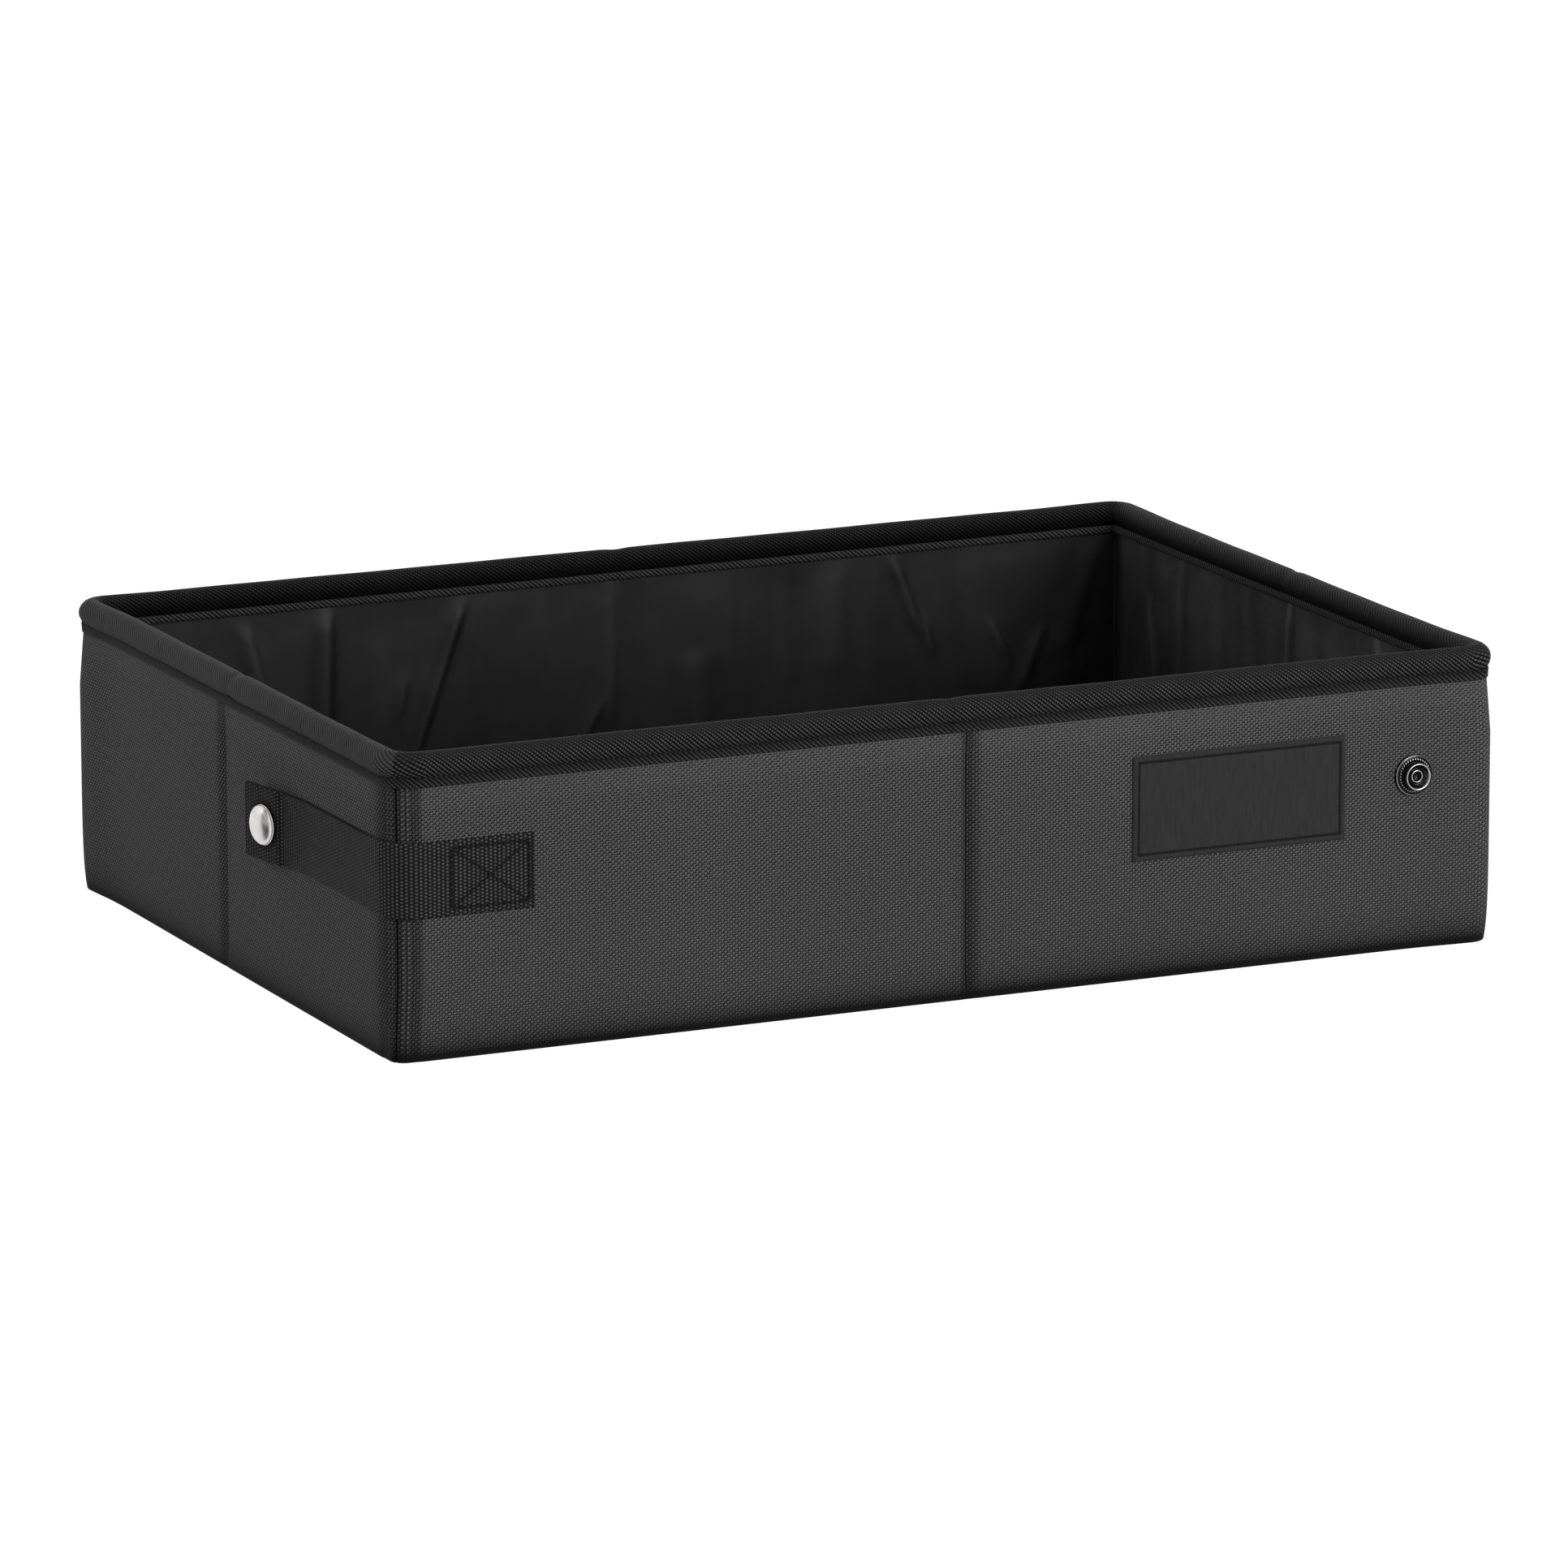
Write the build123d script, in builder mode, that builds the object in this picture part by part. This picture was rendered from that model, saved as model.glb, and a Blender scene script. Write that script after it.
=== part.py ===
from build123d import *
import os

os.makedirs("parts", exist_ok=True)

# Overall sizes of the opened box, in millimetres
length = 400.0  # left to right, over the faces of the side walls
width = 276.0  # front to back, over the faces of the long walls
height = 102.0  # floor to the top of the padded rim

# Layers of the soft base
base_cloth_thickness = 0.8
base_pad_thickness = 2.2
base_liner_thickness = 0.8
base_edge_radius = 1.4

# Layers of the walls, from the outside in
cloth_thickness = 0.9
board_thickness = 3.2
liner_thickness = 0.9
inner_corner_radius = 0.6

# Stiffening boards inside the walls
board_edge_margin = 1.2
board_corner_cut = 3.0
crease_board_gap = 6.0

# Pressed grooves where the long walls fold in half
crease_groove_width = 1.6
crease_groove_depth = 0.4

# Padded rim and the tape that binds the top edge of the wall
rim_radius = 4.7
rim_cover_thickness = 0.8
rim_seat_depth = 0.2
rim_sides = 12
rim_core_sides = 8
binding_thickness = 0.5
binding_height = 2.6

# Clearances
wall_running_gap = 0.3
rim_fold_gap = 0.15
rim_core_gap = 0.1
seam_gap = 0.1
front_crease_gap = 0.3
strap_wall_gap = 0.3
strap_seat_gap = 0.05
snap_gap = 0.35

# Closing strap
strap_width = 25.0
strap_thickness = 1.1
strap_drop = 30.2  # from the binding's lower edge to the middle of the strap
strap_anchor_length = 49.0
strap_flap_length = 112.0
strap_turnback = 26.0
strap_rise_reach = 12.0  # how long the flap takes to climb from the wall to its press stud
strap_end_round_share = 0.9

# Press studs: the post half, its socket and the domed cap
stud_flange_radius = 7.0
stud_flange_thickness = 0.8
stud_neck_radius = 4.3
stud_knob_radius = 4.85
stud_height = 3.6
stud_bore_radius = 2.0
stud_bore_depth = 1.5
stud_edge_distance = 28.5
snap_end_distance = 16.0  # from the strap's end to the middle of its press stud
socket_wall = 1.4
socket_back = 0.3
socket_bevel_share = 0.35
cap_radius = 6.75
cap_height = 2.0
cap_edge = 0.4
cap_dome_steps = 4
cap_post_radius = 1.5

# Label patch on the front wall
patch_length = 80.0
patch_height = 36.0
patch_thickness = 0.9
patch_corner_radius = 1.5
patch_edge_distance = 94.3
patch_drop = 13.9  # from the binding's lower edge to the top of the patch

# Sizes that follow
wall_thickness = cloth_thickness + board_thickness + liner_thickness
corner_radius = inner_corner_radius + wall_thickness
base_height = base_cloth_thickness + base_pad_thickness + base_liner_thickness
wall_bottom = base_height + wall_running_gap
rim_level = height - rim_radius
binding_top = rim_level - rim_radius + rim_seat_depth
binding_bottom = binding_top - binding_height
wall_top = binding_top - binding_thickness
patch_level = binding_bottom - patch_drop - patch_height / 2
strap_level = binding_bottom - strap_drop
wall_middle_x = length / 2 - wall_thickness / 2
wall_middle_y = width / 2 - wall_thickness / 2
fold_radius = rim_radius + rim_fold_gap
pivot_x = wall_middle_x - fold_radius
pivot_y = wall_middle_y - fold_radius
plan_reach = length + width


def span(low_x, low_y, high_x, high_y):
    """The rectangle in plan between two corners."""
    with BuildSketch() as area:
        with Locations(((low_x + high_x) / 2, (low_y + high_y) / 2)):
            Rectangle(high_x - low_x, high_y - low_y)
    return area.sketch


def loop(inset, thickness):
    """A closed band in plan, its outer edge set in from the outer face of the walls."""
    outer = corner_radius - inset
    inner = outer - thickness
    with BuildSketch() as plan:
        RectangleRounded(length - 2 * inset, width - 2 * inset, outer)
        deep = inset + thickness
        RectangleRounded(length - 2 * deep, width - 2 * deep, inner, mode=Mode.SUBTRACT)
    return plan.sketch


# Stretches of the wall between its fold lines, each a rectangle in plan
stretches = {
    "back": span(-plan_reach, pivot_y, plan_reach, plan_reach),
    "left_rear": span(-plan_reach, seam_gap / 2, -pivot_x, pivot_y - seam_gap),
    "left_front": span(-plan_reach, seam_gap - pivot_y, -pivot_x, -seam_gap / 2),
    "right_rear": span(pivot_x, seam_gap / 2, plan_reach, pivot_y - seam_gap),
    "right_front": span(pivot_x, seam_gap - pivot_y, plan_reach, -seam_gap / 2),
    "front_left": span(-plan_reach, -plan_reach, -front_crease_gap / 2, -pivot_y),
    "front_right": span(front_crease_gap / 2, -plan_reach, plan_reach, -pivot_y),
}


# The soft base: a shallow cloth tray with a pad and the waterproof floor laid in it
base_length = length - 2 * base_cloth_thickness
base_width = width - 2 * base_cloth_thickness
base_radius = corner_radius - base_cloth_thickness

with BuildPart() as base_cloth:
    with BuildSketch():
        RectangleRounded(length, width, corner_radius)
    extrude(amount=base_height)
    fillet(base_cloth.faces().sort_by(Axis.Z)[0].edges(), radius=base_edge_radius)
    with BuildSketch(Plane.XY.offset(base_cloth_thickness)):
        RectangleRounded(base_length, base_width, base_radius)
    extrude(amount=base_height, mode=Mode.SUBTRACT)
base_cloth.part.label = "base_cloth"
export_step(base_cloth.part, "parts/base_cloth.step")

with BuildPart() as base_pad:
    with BuildSketch(Plane.XY.offset(base_cloth_thickness)):
        RectangleRounded(base_length, base_width, base_radius)
    extrude(amount=base_pad_thickness)
base_pad.part.label = "base_pad"
export_step(base_pad.part, "parts/base_pad.step")

with BuildPart() as base_liner:
    with BuildSketch(Plane.XY.offset(base_cloth_thickness + base_pad_thickness)):
        RectangleRounded(base_length, base_width, base_radius)
    extrude(amount=base_liner_thickness)
base_liner.part.label = "base_liner"
export_step(base_liner.part, "parts/base_liner.step")


# Outer cloth: one long strip round the box, with a groove pressed at each long wall's crease
for name, stretch in stretches.items():
    with BuildPart() as cloth:
        with BuildSketch(Plane.XY.offset(wall_bottom)):
            add(loop(0, cloth_thickness))
            with Locations((0, width / 2), (0, -width / 2)):
                Rectangle(crease_groove_width, 2 * crease_groove_depth, mode=Mode.SUBTRACT)
            add(stretch, mode=Mode.INTERSECT)
        extrude(amount=wall_top - wall_bottom)
    cloth.part.label = name + "_cloth"
    export_step(cloth.part, "parts/" + name + "_cloth.step")


# Waterproof liner: the inner skin of the same walls
for name, stretch in stretches.items():
    with BuildPart() as liner:
        with BuildSketch(Plane.XY.offset(wall_bottom)):
            add(loop(cloth_thickness + board_thickness, liner_thickness))
            add(stretch, mode=Mode.INTERSECT)
        extrude(amount=wall_top - wall_bottom)
    liner.part.label = name + "_liner"
    export_step(liner.part, "parts/" + name + "_liner.step")


# Seam allowances: the turned-in cloth that fills the four corners between the two skins
corner_areas = {
    "back_left": span(-plan_reach, pivot_y, -pivot_x, plan_reach),
    "back_right": span(pivot_x, pivot_y, plan_reach, plan_reach),
    "front_left": span(-plan_reach, -plan_reach, -pivot_x, -pivot_y),
    "front_right": span(pivot_x, -plan_reach, plan_reach, -pivot_y),
}
for name, area in corner_areas.items():
    with BuildPart() as seam:
        with BuildSketch(Plane.XY.offset(wall_bottom)):
            add(loop(cloth_thickness, board_thickness))
            add(area, mode=Mode.INTERSECT)
        extrude(amount=wall_top - wall_bottom)
    seam.part.label = name + "_corner_seam"
    export_step(seam.part, "parts/" + name + "_corner_seam.step")


# Stiffening boards: two in each long wall and one in each half of a side wall
board_low = wall_bottom + board_edge_margin
board_high = wall_top - board_edge_margin
board_depth = cloth_thickness + board_thickness / 2
board_x = length / 2 - board_depth
board_y = width / 2 - board_depth
long_end = pivot_x - board_edge_margin
side_end = pivot_y - seam_gap - board_edge_margin
board_start = crease_board_gap / 2
boards = {
    "back_left": ((-board_start, board_y), (-long_end, board_y)),
    "back_right": ((board_start, board_y), (long_end, board_y)),
    "front_left": ((-board_start, -board_y), (-long_end, -board_y)),
    "front_right": ((board_start, -board_y), (long_end, -board_y)),
    "left_rear": ((-board_x, board_start), (-board_x, side_end)),
    "left_front": ((-board_x, -board_start), (-board_x, -side_end)),
    "right_rear": ((board_x, board_start), (board_x, side_end)),
    "right_front": ((board_x, -board_start), (board_x, -side_end)),
}
for name, (start, end) in boards.items():
    along = Vector(*end) - Vector(*start)
    middle = (Vector(*start) + Vector(*end)) / 2
    face = Plane(
        origin=(middle.X, middle.Y, (board_low + board_high) / 2),
        x_dir=along,
        z_dir=along.cross(Vector(0, 0, 1)),
    )
    with BuildPart() as board:
        with BuildSketch(face):
            outline = Rectangle(along.length, board_high - board_low)
            chamfer(outline.vertices(), board_corner_cut)
        extrude(amount=board_thickness / 2, both=True)
    board.part.label = name + "_board"
    export_step(board.part, "parts/" + name + "_board.step")


# Binding tape: folded over the top edge of both skins, under the rim
for name, stretch in stretches.items():
    with BuildPart() as binding:
        with BuildSketch(Plane.XY.offset(binding_bottom)):
            add(loop(-binding_thickness, wall_thickness + 2 * binding_thickness))
            add(stretch, mode=Mode.INTERSECT)
        extrude(amount=binding_height)
        with BuildSketch(Plane.XY.offset(binding_bottom)):
            add(loop(0, wall_thickness))
            add(stretch, mode=Mode.INTERSECT)
        extrude(amount=wall_top - binding_bottom, mode=Mode.SUBTRACT)
    binding.part.label = name + "_binding"
    export_step(binding.part, "parts/" + name + "_binding.step")


# Padded rim: a cloth tube over a foam cord, bent round each corner about its fold line
def rim_tube(outer_radius, bore_radius):
    """A round tube that runs right round the box along the middle of the wall."""
    with BuildSketch(Plane.XY.offset(rim_level)) as route:
        RectangleRounded(2 * wall_middle_x, 2 * wall_middle_y, fold_radius)
    start = Plane(origin=(0, -wall_middle_y, rim_level), x_dir=(0, 1, 0), z_dir=(1, 0, 0))
    with BuildPart() as tube:
        with BuildSketch(start):
            if bore_radius > 0:
                RegularPolygon(outer_radius, rim_sides)
                RegularPolygon(bore_radius, rim_core_sides, mode=Mode.SUBTRACT)
            else:
                RegularPolygon(outer_radius, rim_core_sides)
        sweep(path=route.sketch.face().outer_wire())
    return tube.part


rim_bore_radius = rim_radius - rim_cover_thickness
rim_cover_loop = rim_tube(rim_radius, rim_bore_radius)
rim_core_loop = rim_tube(rim_bore_radius - rim_core_gap, 0)

for name, stretch in stretches.items():
    with BuildPart() as rim:
        add(rim_cover_loop)
        with BuildSketch(Plane.XY.offset(binding_top)):
            add(stretch)
        extrude(amount=height, mode=Mode.INTERSECT)
    rim.part.label = name + "_rim"
    export_step(rim.part, "parts/" + name + "_rim.step")

    with BuildPart() as rim_core:
        add(rim_core_loop)
        with BuildSketch(Plane.XY.offset(binding_top)):
            add(stretch)
        extrude(amount=height, mode=Mode.INTERSECT)
    rim_core.part.label = name + "_rim_core"
    export_step(rim_core.part, "parts/" + name + "_rim_core.step")


# Label patch sewn to the front wall
with BuildPart() as label_patch:
    patch_x = length / 2 - patch_edge_distance
    patch_face = Plane(origin=(patch_x, -width / 2, patch_level), x_dir=(1, 0, 0), z_dir=(0, -1, 0))
    with BuildSketch(patch_face):
        RectangleRounded(patch_length, patch_height, patch_corner_radius)
    extrude(amount=patch_thickness)
label_patch.part.label = "label_patch"
export_step(label_patch.part, "parts/label_patch.step")


# Press studs: a flange set in the cloth, with a waisted knob that has an open centre
snap_distance = strap_flap_length - snap_end_distance
snap_y = snap_distance - width / 2
front_stud_face = Plane(
    origin=(length / 2 - stud_edge_distance, -width / 2, strap_level),
    x_dir=(0, 0, 1),
    z_dir=(0, -1, 0),
)
side_stud_face = Plane(
    origin=(-length / 2, snap_y, strap_level),
    x_dir=(0, 0, 1),
    z_dir=(-1, 0, 0),
)


def turned_profile(face):
    """The plane that holds a turned piece's half section: across is radius, up is off the wall."""
    return Plane(origin=face.origin, x_dir=face.x_dir, z_dir=-face.y_dir)


def turning_axis(face):
    """The line off the wall that a turned piece is revolved about."""
    return Axis(face.origin, face.z_dir)


def press_stud(face):
    """The post half of a press stud, seated on the wall at the given plane."""
    knob_middle = (stud_flange_thickness + stud_height) / 2
    bore_floor = stud_height - stud_bore_depth
    with BuildPart() as stud:
        with BuildSketch(turned_profile(face)):
            with BuildLine():
                Polyline(
                    (0, 0),
                    (stud_flange_radius, 0),
                    (stud_flange_radius, stud_flange_thickness),
                    (stud_neck_radius, stud_flange_thickness),
                    (stud_knob_radius, knob_middle),
                    (stud_neck_radius, stud_height),
                    (stud_bore_radius, stud_height),
                    (stud_bore_radius, bore_floor),
                    (0, bore_floor),
                    close=True,
                )
            make_face()
        revolve(axis=turning_axis(face))
    return stud.part


for name, face in (("front_stud", front_stud_face), ("side_stud", side_stud_face)):
    stud_part = press_stud(face)
    stud_part.label = name
    export_step(stud_part, "parts/" + name + ".step")


# Closing strap: the end sewn round the front left corner, and the flap that swings from it
strap_bottom = strap_level - strap_width / 2
with BuildPart() as strap_anchor:
    with BuildSketch(Plane.XY.offset(strap_bottom)):
        add(loop(-strap_seat_gap - strap_thickness, strap_thickness))
        add(
            span(-plan_reach, -plan_reach, strap_anchor_length - length / 2, -pivot_y),
            mode=Mode.INTERSECT,
        )
    extrude(amount=strap_width)
strap_anchor.part.label = "strap_anchor"
export_step(strap_anchor.part, "parts/strap_anchor.step")

socket_radius = stud_knob_radius + snap_gap + socket_wall
socket_mouth = stud_flange_thickness + strap_wall_gap
socket_floor = stud_height + strap_wall_gap
flap_seat = socket_floor + socket_back
flap_top = flap_seat + 2 * strap_thickness
flap_start_y = seam_gap - pivot_y
flap_end_y = strap_flap_length - width / 2
turnback_y = flap_end_y - strap_turnback
rise_y = turnback_y - strap_rise_reach
wall_face_x = -length / 2

with BuildPart() as strap_flap:
    with BuildSketch(Plane.XY.offset(strap_bottom)) as flap_plan:
        with BuildLine():
            Polyline(
                (wall_face_x - strap_wall_gap, flap_start_y),
                (wall_face_x - strap_wall_gap, rise_y),
                (wall_face_x - flap_seat, turnback_y),
                (wall_face_x - flap_seat, flap_end_y),
                (wall_face_x - flap_top, flap_end_y),
                (wall_face_x - flap_top, turnback_y),
                (wall_face_x - flap_seat - strap_thickness, turnback_y),
                (wall_face_x - strap_wall_gap - strap_thickness, rise_y),
                (wall_face_x - strap_wall_gap - strap_thickness, flap_start_y),
                close=True,
            )
        make_face()
        end_points = flap_plan.vertices().group_by(Axis.Y)[-1]
        fillet(end_points, radius=strap_thickness * strap_end_round_share)
    extrude(amount=strap_width)
    with BuildSketch(side_stud_face):
        Circle(cap_post_radius)
    extrude(amount=flap_top, mode=Mode.SUBTRACT)
strap_flap.part.label = "strap_flap"
export_step(strap_flap.part, "parts/strap_flap.step")

# Socket half, open towards the wall, with a bevelled mouth that springs over the knob
socket_bore_radius = stud_knob_radius + snap_gap
mouth_bevel = socket_wall * socket_bevel_share
with BuildPart() as snap_socket:
    with BuildSketch(turned_profile(side_stud_face)):
        with BuildLine():
            Polyline(
                (0, socket_floor),
                (0, flap_seat),
                (socket_radius, flap_seat),
                (socket_radius, socket_mouth + mouth_bevel),
                (socket_radius - mouth_bevel, socket_mouth),
                (socket_bore_radius + mouth_bevel, socket_mouth),
                (socket_bore_radius, socket_mouth + mouth_bevel),
                (socket_bore_radius, socket_floor),
                close=True,
            )
        make_face()
    revolve(axis=turning_axis(side_stud_face))
snap_socket.part.label = "snap_socket"
export_step(snap_socket.part, "parts/snap_socket.step")

# Domed cap on the outside of the strap, its post set through the cloth into the socket.
# The dome is pressed: its rise falls off with the square of the distance from the middle.
dome = [(cap_radius, flap_top)]
for step in range(cap_dome_steps):
    ring_share = 1 - step / cap_dome_steps
    rise = (cap_height - cap_edge) * (1 - ring_share**2)
    dome.append((cap_radius * ring_share, flap_top + cap_edge + rise))
with BuildPart() as snap_cap:
    with BuildSketch(turned_profile(side_stud_face)):
        with BuildLine():
            Polyline(
                (0, flap_top + cap_height),
                (0, flap_seat),
                (cap_post_radius, flap_seat),
                (cap_post_radius, flap_top),
                *dome,
                close=True,
            )
        make_face()
    revolve(axis=turning_axis(side_stud_face))
snap_cap.part.label = "snap_cap"
export_step(snap_cap.part, "parts/snap_cap.step")
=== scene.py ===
import bpy
import numpy as np
from mathutils import Matrix


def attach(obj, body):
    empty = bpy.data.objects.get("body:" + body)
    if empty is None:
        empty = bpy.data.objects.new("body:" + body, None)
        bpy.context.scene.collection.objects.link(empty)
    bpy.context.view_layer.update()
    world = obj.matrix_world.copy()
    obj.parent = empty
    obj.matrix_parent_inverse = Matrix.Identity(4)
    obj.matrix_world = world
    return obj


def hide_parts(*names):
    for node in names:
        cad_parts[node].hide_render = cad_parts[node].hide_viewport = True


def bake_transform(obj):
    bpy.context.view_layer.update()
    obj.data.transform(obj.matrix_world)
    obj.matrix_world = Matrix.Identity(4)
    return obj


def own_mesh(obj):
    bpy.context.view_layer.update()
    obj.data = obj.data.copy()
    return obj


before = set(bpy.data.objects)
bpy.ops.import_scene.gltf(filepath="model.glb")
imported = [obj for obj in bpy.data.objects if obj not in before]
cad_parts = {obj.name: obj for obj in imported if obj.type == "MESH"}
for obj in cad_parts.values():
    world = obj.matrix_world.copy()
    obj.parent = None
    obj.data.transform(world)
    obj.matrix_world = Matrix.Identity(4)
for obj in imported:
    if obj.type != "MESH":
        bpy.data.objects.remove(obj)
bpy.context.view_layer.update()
mm = 0.001


def node(tree, kind, sockets=None, **choices):
    """Adds a node, makes its choices, and fills each named socket with a value or joins it to another node."""
    made = tree.nodes.new(kind)
    for name, value in choices.items():
        setattr(made, name, value)
    for name, value in (sockets or {}).items():
        if isinstance(value, bpy.types.NodeSocket):
            tree.links.new(value, made.inputs[name])
        else:
            made.inputs[name].default_value = value
    return made


def maths(tree, operation, first, second=0.0, third=0.0):
    """One sum, product or other step on one to three values."""
    return node(tree, "ShaderNodeMath", {0: first, 1: second, 2: third}, operation=operation).outputs[0]


def empty_tree(owner):
    """The owner's node tree, switched on and cleared."""
    owner.use_nodes = True
    owner.node_tree.nodes.clear()
    return owner.node_tree


def new_finish(name, **shader_values):
    """A material whose shader has these plain values, with its node tree and its shader."""
    finish = bpy.data.materials.new(name)
    finish.use_nodes = True
    tree = finish.node_tree
    shader = tree.nodes["Principled BSDF"]
    for socket, value in shader_values.items():
        shader.inputs[socket.replace("_", " ")].default_value = value
    return finish, tree, shader


def new_piece(name, points, faces, finish, rounded=False):
    """An object in the scene, with a mesh of these points and faces and one material, shaded as round or flat."""
    mesh = bpy.data.meshes.new(name)
    mesh.from_pydata(points, [], faces)
    mesh.materials.append(finish)
    if rounded:
        mesh.polygons.foreach_set("use_smooth", np.ones(len(faces), bool))
    piece = bpy.data.objects.new(name, mesh)
    bpy.context.scene.collection.objects.link(piece)
    return piece


def unit(direction):
    """The same direction with a length of one."""
    return direction / np.linalg.norm(direction)


def set_down(name, data, side, upright, away, place):
    """A lamp or a camera at a place, with its right, its top and its back in these directions."""
    holder = bpy.data.objects.new(name, data)
    bpy.context.scene.collection.objects.link(holder)
    turned = np.eye(4)
    turned[:3, 0], turned[:3, 1], turned[:3, 2], turned[:3, 3] = side, upright, away, place
    holder.matrix_world = Matrix(turned.tolist())
    return holder


# Where the box stands: a pale floor that takes its shadow, a white room, three wide soft lamps
# and the camera, which looks down a little on the front left corner from some way off.
room_light, wall_glow, floor_glow = 0.22, 1.0, 0.93
white = (1, 1, 1, 1)
world = bpy.data.worlds.new("white_room")
bpy.context.scene.world = world
tree = empty_tree(world)
ray = node(tree, "ShaderNodeLightPath")
seen = maths(tree, "MAXIMUM", ray.outputs["Is Camera Ray"], ray.outputs["Is Glossy Ray"])
seen = maths(tree, "MAXIMUM", seen, ray.outputs["Is Transmission Ray"])
soft_light = node(tree, "ShaderNodeBackground", {"Color": white, "Strength": room_light})
white_wall = node(tree, "ShaderNodeBackground", {"Color": white, "Strength": wall_glow})
either = node(tree, "ShaderNodeMixShader", {0: seen, 1: soft_light.outputs[0], 2: white_wall.outputs[0]})
node(tree, "ShaderNodeOutputWorld", {"Surface": either.outputs[0]})

floor_finish = bpy.data.materials.new("pale_floor")
tree = empty_tree(floor_finish)
ray = node(tree, "ShaderNodeLightPath")
pale = node(tree, "ShaderNodeBsdfDiffuse", {"Color": (0.55, 0.55, 0.55, 1)})
shadowed = node(tree, "ShaderNodeBsdfDiffuse", {"Color": (0.3, 0.3, 0.3, 1)})
glow = node(tree, "ShaderNodeEmission", {"Color": white, "Strength": floor_glow})
lit = node(tree, "ShaderNodeAddShader", {0: shadowed.outputs[0], 1: glow.outputs[0]})
seen = maths(tree, "MAXIMUM", ray.outputs["Is Camera Ray"], ray.outputs["Is Glossy Ray"])
either = node(tree, "ShaderNodeMixShader", {0: seen, 1: pale.outputs[0], 2: lit.outputs[0]})
node(tree, "ShaderNodeOutputMaterial", {"Surface": either.outputs[0]})
floor_reach, floor_drop = 6.0, 0.45 * mm
floor_corners = np.array([[-1, -1, 0], [1, -1, 0], [1, 1, 0], [-1, 1, 0]]) * floor_reach - [0, 0, floor_drop]
floor = new_piece("floor", floor_corners.tolist(), [(0, 1, 2, 3)], floor_finish)

lamp_width, lamp_aim = 1.2, np.array([0, 0, 50 * mm])


def lamp(name, place, watts):
    """A square soft lamp that hangs at a place and faces the middle of the box."""
    light = bpy.data.lights.new(name, "AREA")
    light.size = lamp_width
    light.energy = watts
    away = unit(place - lamp_aim)
    side = unit(np.cross([0, 0, 1], away))
    set_down(name, light, side, np.cross(away, side), away, place)


lamp("front_lamp", (0.7, -2.0, 0.85), 40)
lamp("left_lamp", (-2.0, 0.2, 0.85), 15)
lamp("back_lamp", (0.5, 2.2, 0.45), 10)

# A dark card that only the shining pieces see, as a photographer sets beside metal to give it shape
card_x, card_front, card_back, card_top, card_shade = -0.26, -0.075, -0.022, 0.3, 0.05
card_corners = [
    (card_x, card_front, 0), (card_x, card_back, 0), (card_x, card_back, card_top), (card_x, card_front, card_top)
]
card_finish, _, _ = new_finish("card_by_cap", Base_Color=(card_shade, card_shade, card_shade, 1))
holder = new_piece("card_by_cap", card_corners, [(0, 1, 2, 3)], card_finish)
holder.visible_camera = holder.visible_diffuse = holder.visible_shadow = holder.visible_transmission = False

view_azimuth, view_elevation, view_roll = np.radians([-24.763, 12.874, -0.119])
back = np.array([
    np.sin(view_azimuth) * np.cos(view_elevation),
    -np.cos(view_azimuth) * np.cos(view_elevation),
    np.sin(view_elevation),
])
level = unit(np.cross([0, 0, 1], back))
upright = np.cross(back, level)
right = np.cos(view_roll) * level + np.sin(view_roll) * upright
up = np.cos(view_roll) * upright - np.sin(view_roll) * level
camera = bpy.data.cameras.new("camera")
camera.lens = 239.9
camera.sensor_width = 36.0
camera.clip_end = 100.0
stand = np.array([-1456.45, -3162.48, 840.63]) * mm
bpy.context.scene.camera = set_down("camera", camera, right, up, back, stand)
bpy.context.scene.view_settings.view_transform = "Standard"


# Outer cloth: one strip of two-tone coated cloth, woven thick and thin, that runs right round the box.
# It is drawn over the boards, turned under at the floor line, and sewn shut at the front left corner.
box_length, box_width = 400 * mm, 276 * mm
corner_radius = 5.6 * mm
eased_radius, easing_height = 10.5 * mm, 30 * mm
wall_top = 92.3 * mm
cloth_thickness = 0.9 * mm
turn_under_radius = 0.5 * mm
wall_foot = -0.4 * mm
panel_stop = 65 * mm
eased_reach, eased_fade = 120 * mm, 40 * mm
puff_at_floor, puff_gain, puff_gain_height = 1.7 * mm, 1.3 * mm, 8 * mm
puff_loss, puff_loss_start, puff_loss_height = 1.6 * mm, 72 * mm, 20 * mm
puff_breadth = 19 * mm


def bell(distance, breadth):
    """One at no distance, and falling away on both sides as a bell of the given breadth."""
    return np.exp(-((distance / breadth) ** 2))


def smooth(share):
    """A share from 0 to 1 that starts and ends gently."""
    return share * share * (3 - 2 * share)


def wall_line(half_length, half_width, corner):
    """The line of the walls in plan, run leftwards round the box from the middle of the back wall. A middle point
    slides along each straight run and waits at each corner, where the outward direction turns instead."""
    straight_x, straight_y = half_length - corner, half_width - corner
    turn = corner * np.pi / 2
    runs = [0, straight_x, turn, 2 * straight_y, turn, 2 * straight_x, turn, 2 * straight_y, turn, straight_x]
    return {
        "run": np.cumsum(runs),
        "x": np.array([0, -1, -1, -1, -1, 1, 1, 1, 1, 0]) * straight_x,
        "y": np.array([1, 1, 1, -1, -1, -1, -1, 1, 1, 1]) * straight_y,
        "heading": np.radians([90, 90, 180, 180, 270, 270, 360, 360, 450, 450]),
        "corner": corner,
    }


def on_line(line, run, outward):
    """Points in plan at a run along the line, moved outward: the middle point plus the corner radius and the move,
    in the outward direction."""
    heading = np.interp(run, line["run"], line["heading"])
    reach = line["corner"] + outward
    x = np.interp(run, line["run"], line["x"]) + reach * np.cos(heading)
    y = np.interp(run, line["run"], line["y"]) + reach * np.sin(heading)
    return x, y


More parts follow.
